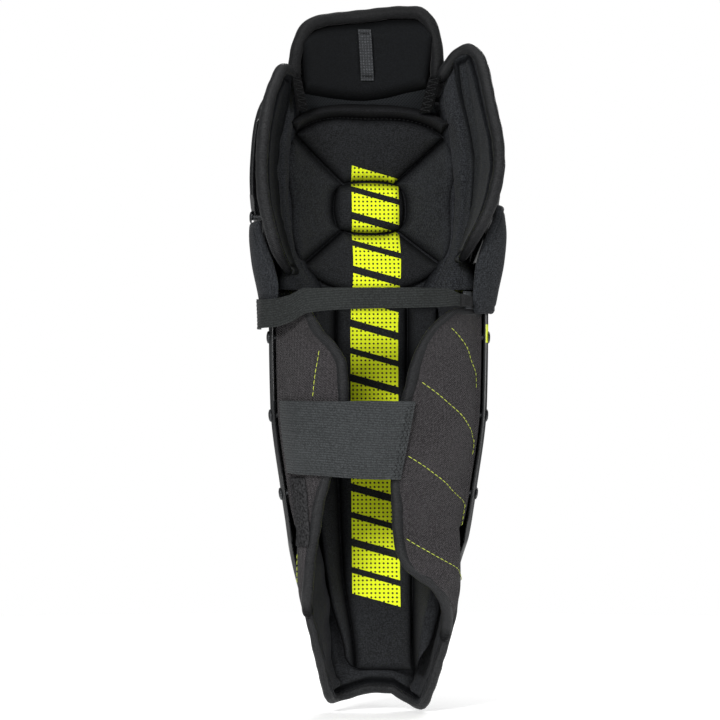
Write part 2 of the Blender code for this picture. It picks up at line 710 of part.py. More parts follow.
GUSSET_ANGLE = 40.0
GUSSET_Z = (0.460, 0.473)
GUSSET_INSETS = (-0.0016, -0.0004)
TAPE_HALF_WIDTH = 0.0045
TAPE_Z = (0.460, 0.4725)
TAPE_INSETS = (0.0168, 0.0180)


def build_thigh_joiners(hinge):
    """Mesh gusset and two elastic tapes that tie the thigh guard to the knee liner."""
    def place(u, v, inset):
        return ring_point(KNEE_FORM, mix(-GUSSET_ANGLE, GUSSET_ANGLE, u), mix(*GUSSET_Z, v), inset)
    add_patch("thigh_gusset", "stretch_mesh", (11, 3), place, *GUSSET_INSETS, hinge)
    for name, middle in (("thigh_elastic_left", -0.052), ("thigh_elastic_right", 0.046)):
        def tape_place(u, v, inset, middle=middle):
            x = middle + mix(-TAPE_HALF_WIDTH, TAPE_HALF_WIDTH, u)
            return front_point(KNEE_FORM, x, mix(*TAPE_Z, v), inset)
        add_patch(name, "elastic_web", (3, 3), tape_place, *TAPE_INSETS, hinge)


# ---------------------------------------------------------------- knee wings

# One row for each height: height, x and y of the root, x and y of the rear edge, for the right wing
RIGHT_WING = (
    (0.348, 0.0580, 0.024, 0.0600, -0.034),
    (0.357, 0.0640, 0.026, 0.0660, -0.036),
    (0.365, 0.0680, 0.028, 0.0710, -0.036),
    (0.376, 0.0710, 0.029, 0.0780, -0.036),
    (0.388, 0.0730, 0.030, 0.0840, -0.035),
    (0.403, 0.0740, 0.031, 0.0890, -0.033),
    (0.423, 0.0740, 0.032, 0.0915, -0.030),
    (0.440, 0.0730, 0.032, 0.0900, -0.026),
    (0.457, 0.0680, 0.032, 0.0855, -0.021),
    (0.477, 0.0640, 0.031, 0.0805, -0.014),
    (0.494, 0.0610, 0.030, 0.0765, -0.006),
    (0.507, 0.0585, 0.028, 0.0720, 0.002),
    (0.516, 0.0595, 0.024, 0.0660, 0.010),
)
LEFT_WING = (
    (0.348, 0.0580, 0.024, 0.0630, -0.034),
    (0.365, 0.0680, 0.028, 0.0750, -0.036),
    (0.388, 0.0730, 0.030, 0.0865, -0.034),
    (0.403, 0.0740, 0.031, 0.0900, -0.032),
    (0.423, 0.0740, 0.032, 0.0915, -0.029),
    (0.440, 0.0730, 0.032, 0.0900, -0.025),
    (0.457, 0.0680, 0.032, 0.0870, -0.020),
    (0.477, 0.0635, 0.031, 0.0830, -0.010),
    (0.490, 0.0610, 0.029, 0.0780, 0.000),
    (0.500, 0.0600, 0.024, 0.0710, 0.010),
)
WING_WALL = 0.009
WING_EDGE_R = 0.0044
WING_BOW = 0.0015            # how far a wing bulges outwards between root and rear edge


def wing_column(table, height):
    """Root and rear edge of a wing at a height."""
    root_x, root_y, rear_x, rear_y = (
        smooth_value([(row[0], row[column]) for row in table], height) for column in (1, 2, 3, 4))
    return Vector((root_x, root_y, height)), Vector((rear_x, rear_y, height))


def wing_point(table, side, u, height, offset):
    """Point on a wing's middle surface, moved outwards by an offset."""
    root, rear = wing_column(table, height)
    along = (rear - root).normalized()
    outwards = Vector((-along.y, along.x, 0.0))
    spot = mix(root, rear, u) + outwards * (WING_BOW * 4 * u * (1 - u) + offset)
    return Vector((spot.x * side, spot.y, spot.z))


def wing_edge(table):
    """Binding line of a wing as (distance behind the root, height), from the foot over the top."""
    lengths = []
    for height in [mix(table[0][0], table[-1][0], i / 24) for i in range(25)]:
        root, rear = wing_column(table, height)
        lengths.append(Vector(((rear - root).length, height)))
    return lengths + [Vector((0.0, table[-1][0]))]


def build_wing(side_name, side, table, hinge):
    """Padded wing at one side of the knee, its binding, and the stretch panel at its crease."""
    edge = wing_edge(table)
    clearance = WING_EDGE_R + GAP

    def place(u, v, offset):
        top = table[-1][0] - clearance - 0.0005
        height = mix(table[0][0], top, v)
        reach = walk_to(edge, Vector((0.002, height)), Vector((0.0006, 0.0)), clearance).x
        root, rear = wing_column(table, height)
        return wing_point(table, side, u * reach / (rear - root).length, height, offset)

    def outer_face(u, v):
        return WING_WALL / 2 * (0.75 + 0.25 * math.sin(math.pi * u))

    def inner_face(u, v):
        return -outer_face(u, v)
    pad = patch(side_name + "_wing_pad", 7, 12, place, outer_face, inner_face)
    add_piece(side_name + "_wing_pad", "wing_fabric", pad, hinge)

    roll = []
    for spot in evenly_along(edge, 0.011):
        root, rear = wing_column(table, spot.y)
        roll.append(wing_point(table, side, spot.x / (rear - root).length, spot.y, 0.0))
    add_roll(side_name + "_wing_binding", "binding_tape", roll, WING_EDGE_R, hinge)


# ---------------------------------------------------------------- thigh guard

THIGH_CENTRE_X = -0.005
THIGH_R = 0.085
THIGH_FRONT_Y = 0.0755       # front of the guard at its foot
THIGH_FOOT_Z = 0.4815
THIGH_LEAN = 0.25            # how far the guard leans back for each metre of height
THIGH_EDGE_R = 0.005
THIGH_PAD_WALL = (0.0046, 0.0165)
THIGH_BACKING_WALL = (0.0027, 0.0043)
THIGH_PLATE_WALL = (0.0, 0.0024)
THIGH_LINE = (               # x and z of the middle of the binding, left to right
    (-0.0590, 0.4820), (-0.0600, 0.4980), (-0.0575, 0.5120), (-0.0510, 0.5240), (-0.0420, 0.5315),
    (-0.0310, 0.5355), (-0.0050, 0.5390), (0.0200, 0.5415), (0.0330, 0.5405), (0.0420, 0.5330),
    (0.0470, 0.5210), (0.0490, 0.5050), (0.0485, 0.4820),
)
WEB_TAB_X = (-0.0100, 0.0000)
WEB_TAB_Z = (0.4920, 0.5300)
WEB_TAB_WALL = (0.0170, 0.0182)


def thigh_point(x, height, depth):
    """Point on the thigh guard's front surface, moved back by a depth."""
    radius = THIGH_R - depth
    front = THIGH_FRONT_Y - THIGH_LEAN * (height - THIGH_FOOT_Z)
    angle = math.asin((x - THIGH_CENTRE_X) / THIGH_R)
    across = THIGH_CENTRE_X + radius * math.sin(angle)
    return Vector((across, front - THIGH_R + radius * math.cos(angle), height))


def build_thigh_guard(hinge):
    """Short padded guard above the knee: plate, backing, pad, binding and webbing tab."""
    line = [Vector(point) for point in THIGH_LINE]
    clearance = THIGH_EDGE_R + GAP
    left, right = line[1].x + clearance + 0.0012, line[-2].x - clearance - 0.0012

    def place(u, v, depth):
        x = mix(left, right, u)
        top = walk_to(line, Vector((x, 0.4950)), Vector((0.0, 0.0005)), clearance).y
        return thigh_point(x, mix(THIGH_FOOT_Z, top, v), depth)
    for name, finish, (front, back), columns in (
            ("thigh_plate", "shell_plastic", THIGH_PLATE_WALL, 11),
            ("thigh_backing", "liner_fabric", THIGH_BACKING_WALL, 11),
            ("thigh_pad", "brushed_pad", THIGH_PAD_WALL, 13)):
        inner = crown(back * 0.75, back) if name == "thigh_pad" else back
        add_patch(name, finish, (columns, 7), place, front, inner, hinge)

    middle = THIGH_PAD_WALL[1] / 2
    roll = [thigh_point(spot.x, spot.y, middle) for spot in evenly_along(line, 0.011)]
    add_roll("thigh_binding", "binding_tape", roll, THIGH_EDGE_R, hinge)

    def tab_place(u, v, depth):
        return thigh_point(mix(*WEB_TAB_X, u), mix(*WEB_TAB_Z, v), depth)
    add_patch("thigh_webbing_tab", "grey_webbing", (3, 5), tab_place, *WEB_TAB_WALL, hinge)


# ---------------------------------------------------------------- calf wraps

WRAP_WALL = 0.0055
WRAP_EDGE_R = 0.0040
WRAP_ROOT_ANGLE = 103.0
WRAP_R = 0.066               # turns angles round the calf into lengths
WRAP_INSET = ((0.060, -0.0010), (0.090, -0.0025), (0.118, 0.0020), (0.150, 0.0080), (0.312, 0.0080))
# Free edges, top to foot: angle from the front, and height of the middle of the binding
RIGHT_WRAP_LINE = (
    (104, 0.3022), (122, 0.3022), (138, 0.3015), (153, 0.2975), (161.3, 0.2890), (167.2, 0.2750),
    (170, 0.2600),
    (173, 0.2420), (175.5, 0.2100), (176.7, 0.1780), (176, 0.1560), (173.4, 0.1320), (169, 0.1200),
    (160.2, 0.1100), (147, 0.1000), (135, 0.0880), (128.3, 0.0780), (117.6, 0.0630), (108, 0.0600),
)
LEFT_WRAP_LINE = (
    (104, 0.2915), (126, 0.2915), (138, 0.2880), (149, 0.2780), (157, 0.2610), (159.5, 0.2420), (152, 0.2100),
    (142, 0.1810), (129.5, 0.1510), (121.8, 0.1330), (118.5, 0.0910), (113, 0.0800), (106, 0.0780),
)


def wrap_place(degrees, height, depth):
    """Point on a calf wrap, by angle, height and depth from its outer face."""
    return ring_point(SHIN_FORM, degrees, height, smooth_value(WRAP_INSET, height) + depth)


def build_wrap(side_name, side, line, hinge):
    """Knit calf wrap with binding round its free edge."""
    edge = [Vector((math.radians(degrees) * WRAP_R, height)) for degrees, height in line]
    clearance = WRAP_EDGE_R + GAP + 0.0032
    root = math.radians(WRAP_ROOT_ANGLE) * WRAP_R
    top = line[0][1] - clearance
    foot = line[-1][1] + clearance + 0.001

    def place(u, v, depth):
        height = mix(foot, top, v)
        reach = walk_to(edge, Vector((root + 0.001, height)), Vector((0.0005, 0.0)), clearance).x
        return wrap_place(side * math.degrees(mix(root, reach, u) / WRAP_R), height, depth)
    name = side_name + "_calf_wrap"
    add_patch(name, "calf_knit", (9, 19), place, 0.0, WRAP_WALL, hinge)

    roll = []
    for spot in evenly_along(edge, 0.011):
        roll.append(wrap_place(side * math.degrees(spot.x / WRAP_R), spot.y, WRAP_WALL / 2 + 0.0009))
    add_roll(side_name + "_wrap_binding", "binding_tape", roll, WRAP_EDGE_R, hinge)


LOOP_PATCH_ANGLES = (-120.0, -106.0)
LOOP_PATCH_Z = (0.1400, 0.1760)
LOOP_PATCH_WALL = (-0.0014, -0.0004)


def build_loop_patch(hinge):
    """Loop patch on the left wrap, for the lower strap's hook patch."""
    def place(u, v, depth):
        return wrap_place(mix(*LOOP_PATCH_ANGLES, u), mix(*LOOP_PATCH_Z, v), depth)
    add_patch("strap_loop_patch", "hook_fabric", (4, 4), place, *LOOP_PATCH_WALL, hinge)


# ---------------------------------------------------------------- straps

LOWER_STRAP_ANGLES = (162.0, 256.0)      # 180 is straight behind, past it is the left side
LOWER_STRAP_Z = ((162, 0.180), (256, 0.185))
LOWER_STRAP_HEIGHT = 0.058
LOWER_STRAP_INSETS = (0.0048, 0.0066)
UPPER_STRAP_INSET = ((128, 0.0090), (180, 0.0050), (220, 0.0030), (245, -0.0030), (260, -0.0100),
                     (275, -0.0116), (290, -0.0122))
UPPER_STRAP_ANGLES = (128.0, 288.0)
UPPER_STRAP_FOOT = ((128, 0.3105), (215, 0.3100), (245, 0.3010), (288, 0.2990))
UPPER_STRAP_HEIGHT = ((128, 0.0150), (215, 0.0170), (245, 0.0210), (288, 0.0220))
STRAP_WALL = 0.0018
HOOK_TAB_ANGLES = (276.0, 287.0)
HOOK_TAB_WALL = (-0.0018, -0.0004)


def build_lower_strap(hinge):
    """Broad elastic strap, sewn to the right wrap, that lies over the left wrap."""
    def place(u, v, inset):
        angle = mix(*LOWER_STRAP_ANGLES, u)
        low = straight_value(LOWER_STRAP_Z, angle)
        return ring_point(SHIN_FORM, angle, low + LOWER_STRAP_HEIGHT * v, inset)
    add_patch("lower_strap", "elastic_web", (17, 5), place, *LOWER_STRAP_INSETS, hinge)


def build_upper_strap(hinge):
    """Narrow elastic strap under the knee, from the inner anchor round the left side guard."""
    def place(u, v, depth):
        angle = mix(*UPPER_STRAP_ANGLES, u)
        height = smooth_value(UPPER_STRAP_FOOT, angle) + smooth_value(UPPER_STRAP_HEIGHT, angle) * v
        return ring_point(SHIN_FORM, angle, height, smooth_value(UPPER_STRAP_INSET, angle) + depth)
    add_patch("upper_strap", "elastic_web", (29, 3), place, 0.0, STRAP_WALL, hinge)

    def hook_place(u, v, depth):
        start, end = UPPER_STRAP_ANGLES
        share = (mix(*HOOK_TAB_ANGLES, u) - start) / (end - start)
        return place(share, mix(0.1, 0.9, v), depth)
    add_patch("upper_strap_hook", "hook_fabric", (5, 3), hook_place, *HOOK_TAB_WALL, hinge)


# ---------------------------------------------------------------- the whole guard

def build_knee_joint(shin, knee, shell, cup):
    """Hinge arms, pivots and cup rivets at both sides of the knee."""
    for side_name, side in (("left", -1), ("right", 1)):
        outwards = Vector((side, 0.0, 0.0))
        arm = build_hinge_arm(side_name + "_hinge_arm", side, knee)
        pivot_place = Vector((side * PIVOT_X, KNEE_PIVOT.y, KNEE_PIVOT.z))
        pivot = add_rivet(side_name + "_knee_pivot", pivot_place, outwards, PIVOT_GRIP, shin, pivot=True)
        drill(shell, [pivot])
        drill(arm, [pivot])
        cup_place = Vector((side * CUP_RIVET_X, *ARM_TOP))
        cup_rivet = add_rivet(side_name + "_cup_rivet", cup_place, outwards, CUP_RIVET_GRIP, knee)
        drill(cup, [cup_rivet])
        drill(arm, [cup_rivet])



def main():
    """Build every body on its hinge."""
    clear_scene()
    shin = make_hinge("shin_body", Vector())
    knee = make_hinge("knee_hinge", KNEE_PIVOT, shin)
    thigh = make_hinge("thigh_hinge", THIGH_HINGE, knee)
    left_hinge_place = Vector((-WING_HINGE.x, WING_HINGE.y, WING_HINGE.z))
    left_wing = make_hinge("left_wing_hinge", left_hinge_place, knee)
    right_wing = make_hinge("right_wing_hinge", WING_HINGE, knee)
    left_wrap = make_hinge("left_wrap_hinge", Vector((-WRAP_HINGE.x, WRAP_HINGE.y, WRAP_HINGE.z)), shin)
    right_wrap = make_hinge("right_wrap_hinge", WRAP_HINGE, shin)
    upper_strap = make_hinge("upper_strap_hinge", UPPER_STRAP_HINGE, shin)
    lower_strap = make_hinge("lower_strap_hinge", LOWER_STRAP_HINGE, right_wrap)

    shell = build_shell(shin)
    build_shin_foam(shin)
    build_liner(shin)
    build_shin_pads(shin)
    build_side_guard("left_side_guard", -1, LEFT_GUARD_EDGE, 0.379, shin)
    build_side_guard("right_side_guard", 1, RIGHT_GUARD_EDGE, 0.392, shin)
    anchors = build_anchors(shin)
    holes = build_shell_rivets(shin)
    drill(shell, holes)
    drill(anchors[0], holes[:3])
    drill(anchors[1], holes[3:])

    cup = build_knee_cup(knee)
    build_knee_joint(shin, knee, shell, cup)
    build_knee_liner(knee)
    build_knee_pads(knee)
    build_thigh_joiners(knee)

    build_thigh_guard(thigh)
    build_wing("left", -1, LEFT_WING, left_wing)
    build_wing("right", 1, RIGHT_WING, right_wing)
    build_wrap("left", -1, LEFT_WRAP_LINE, left_wrap)
    build_loop_patch(left_wrap)
    build_wrap("right", 1, RIGHT_WRAP_LINE, right_wrap)
    build_lower_strap(lower_strap)
    build_upper_strap(upper_strap)


main()
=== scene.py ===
"""Looks of the ice hockey shin guard: fabric, foam, binding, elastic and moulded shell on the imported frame.

Metres, +Z up. +Y is the front of the leg, -Y the open calf side, +X the outer side of a right leg.
The forms below are the CAD model's own: a ring round the leg, read by angle, height and inset.
"""
import math

import bpy
import numpy as np
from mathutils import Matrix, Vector


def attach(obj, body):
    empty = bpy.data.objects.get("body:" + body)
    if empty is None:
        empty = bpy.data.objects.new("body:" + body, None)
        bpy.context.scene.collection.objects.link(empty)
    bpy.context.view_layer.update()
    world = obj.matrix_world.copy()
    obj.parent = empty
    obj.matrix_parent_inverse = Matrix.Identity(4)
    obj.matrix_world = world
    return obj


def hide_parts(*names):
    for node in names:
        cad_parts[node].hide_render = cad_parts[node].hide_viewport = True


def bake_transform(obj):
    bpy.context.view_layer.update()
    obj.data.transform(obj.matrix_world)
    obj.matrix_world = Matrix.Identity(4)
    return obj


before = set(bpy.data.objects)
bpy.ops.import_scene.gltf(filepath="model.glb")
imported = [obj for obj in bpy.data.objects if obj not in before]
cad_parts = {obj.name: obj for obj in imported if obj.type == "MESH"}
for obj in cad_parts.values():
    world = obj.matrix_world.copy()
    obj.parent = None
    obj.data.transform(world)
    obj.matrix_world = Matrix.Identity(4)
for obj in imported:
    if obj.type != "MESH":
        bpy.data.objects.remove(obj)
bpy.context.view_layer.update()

# ---------------------------------------------------------------- forms shared with the CAD model

ROUNDNESS = 0.87
KNEE_CENTRE_Z = 0.3927
SHIN_FORM = np.array((   # height, half width, front depth, rear depth
    (0.0, 0.038, 0.05, 0.034),
    (0.04, 0.05, 0.055, 0.038),
    (0.075, 0.057, 0.059, 0.041),
    (0.118, 0.066, 0.064, 0.047),
    (0.17, 0.0745, 0.069, 0.056),
    (0.24, 0.083, 0.074, 0.064),
    (0.3, 0.084, 0.077, 0.064),
    (0.35, 0.084, 0.079, 0.06),
))
CUP_FORM = np.array((
    (0.322, 0.0875, 0.084, 0.06),
    (0.35, 0.092, 0.0925, 0.06),
    (0.38, 0.097, 0.0985, 0.06),
    (0.41, 0.0985, 0.101, 0.06),
    (0.44, 0.097, 0.098, 0.06),
    (0.475, 0.091, 0.088, 0.06),
    (0.486, 0.088, 0.083, 0.06),
))
KNEE_FORM = np.array((
    (0.326, 0.074, 0.066, 0.05),
    (0.35, 0.079, 0.076, 0.05),
    (0.38, 0.086, 0.086, 0.05),
    (0.41, 0.089, 0.09, 0.05),
    (0.44, 0.088, 0.087, 0.05),
    (0.475, 0.08, 0.076, 0.05),
    (0.5, 0.076, 0.066, 0.05),
))
GUARD_FORM = np.array((
    (0.297, 0.0885, 0.06, 0.042),
    (0.322, 0.0925, 0.06, 0.042),
    (0.35, 0.098, 0.06, 0.042),
    (0.369, 0.0995, 0.06, 0.042),
    (0.392, 0.0975, 0.06, 0.042),
))


def smooth(table, place):
    """The smooth curve through (place, height) rows, which never overshoots, at one or many places."""
    table = np.asarray(table, float)
    xs, ys = table[:, 0], table[:, 1]
    place = np.clip(np.asarray(place, float), xs[0], xs[-1])
    rise = np.diff(ys) / np.diff(xs)
    slope = np.zeros(len(xs))
    together = rise[:-1] * rise[1:] > 0
    total = np.where(together, rise[:-1] + rise[1:], 1.0)
    slope[1:-1] = np.where(together, 2 * rise[:-1] * rise[1:] / total, 0.0)
    i = np.clip(np.searchsorted(xs, place, side="right"), 1, len(xs) - 1)
    span = xs[i] - xs[i - 1]
    t = (place - xs[i - 1]) / span
    low, climb = ys[i - 1], ys[i] - ys[i - 1]
    first, last = slope[i - 1] * span, slope[i] * span
    return low + t * first + t * t * (3 * climb - 2 * first - last) + t ** 3 * (first + last - 2 * climb)


def form_size(form, height):
    """Half width, front depth and rear depth of a form."""
    return [smooth(form[:, (0, column)], height) for column in (1, 2, 3)]


def stack(x, y, z):
    """Points from arrays of x, y and z."""
    x, y, z = np.broadcast_arrays(x, y, z)
    return np.stack((x, y, z), axis=-1)


def ring(form, degrees, height, inset):
    """Points on a form, by angle from the front, height and inset."""
    degrees, height, inset = np.broadcast_arrays(*(np.asarray(a, float) for a in (degrees, height, inset)))
    half, front, rear = form_size(form, height)
    angle = np.radians(degrees)
    depth = np.where(np.cos(angle) > 0, front, rear)
    x = (half - inset) * np.abs(np.sin(angle)) ** ROUNDNESS * np.sign(np.sin(angle))
    y = (depth - inset) * np.abs(np.cos(angle)) ** ROUNDNESS * np.sign(np.cos(angle))
    return stack(x, y, height)


def front_point(form, x, height, inset):
    """Points on the front half of a form, by x."""
    x, height, inset = np.broadcast_arrays(*(np.asarray(a, float) for a in (x, height, inset)))
    half, front, _ = form_size(form, height)
    share = np.minimum(np.abs(x) / (half - inset), 0.999)
    return stack(x, (front - inset) * (1 - share ** (2 / ROUNDNESS)) ** (ROUNDNESS / 2), height)


def mix(low, high, t):
    """A share t of the way from low to high."""
    return low + (high - low) * t


def smoothstep(low, high, value):
    """0 below low, 1 above high, smooth between."""
    t = np.clip((np.asarray(value, float) - low) / (high - low), 0, 1)
    return t * t * (3 - 2 * t)


# ---------------------------------------------------------------- meshes

def even(count):
    """Even steps from 0 to 1."""
    return np.linspace(0, 1, count)


def crowded(count, amount):
    """Steps from 0 to 1 that crowd towards both ends, for rounded edges."""
    t = even(count)
    return mix(t, 0.5 - 0.5 * np.cos(np.pi * t), amount)


def grid(nu, nv, crowd_u=0.6, crowd_v=0.6):
    """Grids of u and v from 0 to 1, crowded towards their ends by a share of a cosine spacing."""
    return np.meshgrid(crowded(nu, crowd_u), crowded(nv, crowd_v), indexing="ij")


def lengths(points, axis):
    """Distance along a grid in one direction, in metres."""
    step = np.linalg.norm(np.diff(points, axis=axis), axis=-1)
    start = np.zeros_like(np.take(step, [0], axis=axis))
    return np.concatenate((start, np.cumsum(step, axis=axis)), axis=axis)


def make_object(name, points, faces, uvs=None):
    """Mesh object with its faces pointing out, and a UV layer in metres along the cloth."""
    mesh = bpy.data.meshes.new(name)
    mesh.from_pydata(np.asarray(points, float).reshape(-1, 3).tolist(), [], faces)
    mesh.update()
    if uvs is not None:
        layer = mesh.uv_layers.new(name="cloth")
        loops = np.zeros(len(mesh.loops), int)
        mesh.loops.foreach_get("vertex_index", loops)
        layer.data.foreach_set("uv", np.asarray(uvs, float).reshape(-1, 2)[loops].ravel())
    mesh.shade_smooth()
    thing = bpy.data.objects.new(name, mesh)
    bpy.context.scene.collection.objects.link(thing)
    return thing


def grid_faces(nu, nv, start=0, flip=False):
    """Quads of a grid of points, column by column."""
    i, j = np.meshgrid(np.arange(nu - 1), np.arange(nv - 1), indexing="ij")
    a = (start + i * nv + j).ravel()
    quads = np.stack((a, a + 1, a + nv + 1, a + nv), axis=-1)
    return (quads[:, ::-1] if flip else quads).tolist()


def closed(name, outer, inner):
    """Closed solid between two grids; outer is the face away from the leg."""
    nu, nv = outer.shape[:2]
    count = nu * nv
    volume_sign = np.einsum("ijk,ijk->ij", np.cross(
        outer[1:, :-1] - outer[:-1, :-1], outer[:-1, 1:] - outer[:-1, :-1]),
        outer[:-1, :-1] - inner[:-1, :-1]).sum()
    flip = volume_sign > 0
    faces = grid_faces(nu, nv, 0, flip) + grid_faces(nu, nv, count, not flip)
    rim = [i * nv for i in range(nu)] + [(nu - 1) * nv + j for j in range(1, nv)]
    rim += [i * nv + nv - 1 for i in range(nu - 2, -1, -1)] + list(range(nv - 2, 0, -1))
    for a, b in zip(rim, rim[1:] + rim[:1]):
        quad = [a, b, b + count, a + count]
        faces.append(quad if not flip else quad[::-1])
    middle = (outer + inner) / 2
    uv = np.stack((lengths(middle, 0), lengths(middle, 1)), axis=-1)
    thing = make_object(name, np.concatenate((outer.reshape(-1, 3), inner.reshape(-1, 3))), faces,
                        np.concatenate((uv.reshape(-1, 2),) * 2))
    thing["outer_faces"] = (nu - 1) * (nv - 1)
    thing["grid"] = (nu, nv)
    return thing


def line_inside(thing, finish):
    """Second finish on every face of a closed skin but its outer ones."""
    thing.data.materials.append(finish)
    index = np.ones(len(thing.data.polygons), int)
    index[:thing["outer_faces"]] = 0
    thing.data.polygons.foreach_set("material_index", index)


def edge_distance(points):
    """Distance of each grid point from the patch's nearest edge, in metres."""
    along, up = lengths(points, 0), lengths(points, 1)
    return np.minimum.reduce((along, along[-1:] - along, up, up[:, -1:] - up))


def rounded(distance, radius):
    """0 at an edge and 1 past its radius, along a quarter circle."""
    t = np.clip(1 - distance / radius, 0, 1)
    return np.sqrt(1 - t * t)


def write_painted_shade(thing, share):
    """Store painted shade for each vertex, from 0 to 1, which darkens its cloth's colour and dulls its sheen
    where seams, creases and covered places lie in shade.
    """
    layer = thing.data.attributes.new("fold", "FLOAT", "POINT")
    layer.data.foreach_set("value", np.asarray(share, np.float32))


def mark_painted_shade(thing, share):
    """Store painted shade in seams and creases over both faces of a closed skin, from a grid or one number.
    """
    share = np.clip(np.broadcast_to(share, thing["grid"]), 0, 1).ravel()
    write_painted_shade(thing, np.concatenate((share, share)))


def pillow(distance, radius):
    """0 at a sewn edge and 1 past its radius, steep at the seam and then easing over."""
    t = np.clip(distance / radius, 0, 1)
    return (t * (2 - t)) ** 0.8


PAD_SEAM_SHADE = 0.0068      # how far the painted shade of a sewn seam reaches over a pad


def pad(name, place, counts, back, height, radius, relief=None, thin=0.0012):
    """Foam pad in fabric: place(u, v, inset) gives its points, back is the inset of its back face."""
    u, v = grid(*counts)
    base = place(u, v, np.full_like(u, back))
    gap = edge_distance(base)
    rise = thin + (height - thin) * pillow(gap, radius)
    if relief is not None:
        rise = rise + relief(u, v, base)
    cushion = closed(name, base, place(u, v, back + rise))
    # painted shade, darkest at the pad's sewn seams
    mark_painted_shade(cushion, (1 - np.clip(gap / PAD_SEAM_SHADE, 0, 1)) ** 1.4)
    return cushion


def unit(vectors):
    """Vectors made one long; a vector of no length stays zero."""
    return vectors / np.maximum(np.linalg.norm(vectors, axis=-1, keepdims=True), 1e-9)


ANY_DIRECTION = (0.13, 0.29, 0.95)     # along none of the paths


def frames_along(path):
    """Two unit vectors across each point of a path, without twist."""
    tangent = unit(np.gradient(path, axis=0))
    side = np.cross(tangent[0], ANY_DIRECTION)
    sides = []
    for direction in tangent:
        side = side - direction * side.dot(direction)
        side = side / np.linalg.norm(side)
        sides.append(side)
    sides = np.array(sides)
    return sides, np.cross(tangent, sides)


def tube_faces(rings, sides, start=0):
    """Faces of a closed tube of rings of points, its two end caps last."""
    faces = []
    for i in range(start, start + (rings - 1) * sides, sides):
        for k in range(sides):
            nxt = (k + 1) % sides
            faces.append((i + k, i + nxt, i + sides + nxt, i + sides + k))
    last = start + (rings - 1) * sides
    return faces + [tuple(range(start, start + sides))[::-1], tuple(range(last, last + sides))]


def circle(sides):
    """Angles round a circle."""
    return 2 * np.pi * np.arange(sides) / sides


ROLL_SIDES = 14
BINDING_STEP = 0.0022
ROLL_END_SIZE = 0.6          # size of a roll's drawn-in ends
ROLL_FOOT_LENGTH = 0.03     # length over which a thin foot swells to full size


def roll(name, path, radius, waves, shaded_ends=(0.0, 0.0), foot=0.0):
    """Closed roll along a path, with its ends drawn in, and painted shade over a length at each end where it
    runs in under other parts.

    Its waves are (share of its size, radians to the metre, start), and its foot is thinner by a share."""
    path = np.asarray(path, float)
    along = lengths(path[:, None], 0)[:, 0]
    across, other = frames_along(path)
    from_ends = np.stack((along, along[-1] - along))
    swelling = sum(share * np.sin(along * rate + start) for share, rate, start in waves)
    size = radius * (1 + swelling - foot * (1 - smoothstep(0.0, ROLL_FOOT_LENGTH, along)))
    size *= mix(ROLL_END_SIZE, 1.0, rounded(from_ends.min(axis=0), radius))
    turn = circle(ROLL_SIDES)
    offset = across[:, None] * np.cos(turn)[None, :, None] + other[:, None] * np.sin(turn)[None, :, None]
    points = path[:, None] + offset * size[:, None, None]
    uv = np.stack(np.broadcast_arrays(turn[None, :] * radius, along[:, None]), axis=-1)
    thing = make_object(name, points, tube_faces(len(path), ROLL_SIDES), uv)
    reach = np.maximum(np.array(shaded_ends), 1e-9)[:, None]
    # painted shade towards the ends that run in under other parts
    dark = (1 - np.clip(from_ends / reach, 0, 1)).max(axis=0)
    write_painted_shade(thing, np.repeat(dark, ROLL_SIDES))
    return thing


def resample(path, spacing):
    """The path with points at an even spacing, on a smooth curve."""
    path = np.asarray(path, float)
    along = lengths(path[:, None], 0)[:, 0]
    count = max(3, int(round(along[-1] / spacing)) + 1)
    places = np.linspace(0, along[-1], count)
    return np.stack([smooth(np.stack((along, part), axis=1), places) for part in path.T], axis=1)


def eased(path, rounds):
    """The path with its corners rounded, its ends kept."""
    for _ in range(rounds):
        path = np.concatenate((path[:1], (path[:-2] + 2 * path[1:-1] + path[2:]) / 4, path[-1:]))
    return path


def coordinates(mesh):
    """Vertex coordinates of a mesh, one row for each."""
    flat = np.zeros(len(mesh.vertices) * 3)
    mesh.vertices.foreach_get("co", flat)
    return flat.reshape(-1, 3)


def move_vertices(thing, points):
    """Put an object's vertices at new coordinates."""
    thing.data.vertices.foreach_set("co", np.asarray(points, float).ravel())
    thing.data.update()


SWELL_SCALE = 10.0           # a pad is blown up this many times larger, where cloth behaves well
SWELL_SLACK = 0.02           # share by which the cloth is larger than its pattern
SWELL_FRAMES = 16
SWELL_CLOTH = {"mass": 0.15, "air_damping": 4.0, "tension_stiffness": 12.0, "compression_stiffness": 8.0,
               "shear_stiffness": 4.0, "bending_stiffness": 0.3, "quality": 5, "use_pressure": True,
               "shrink_min": -SWELL_SLACK}


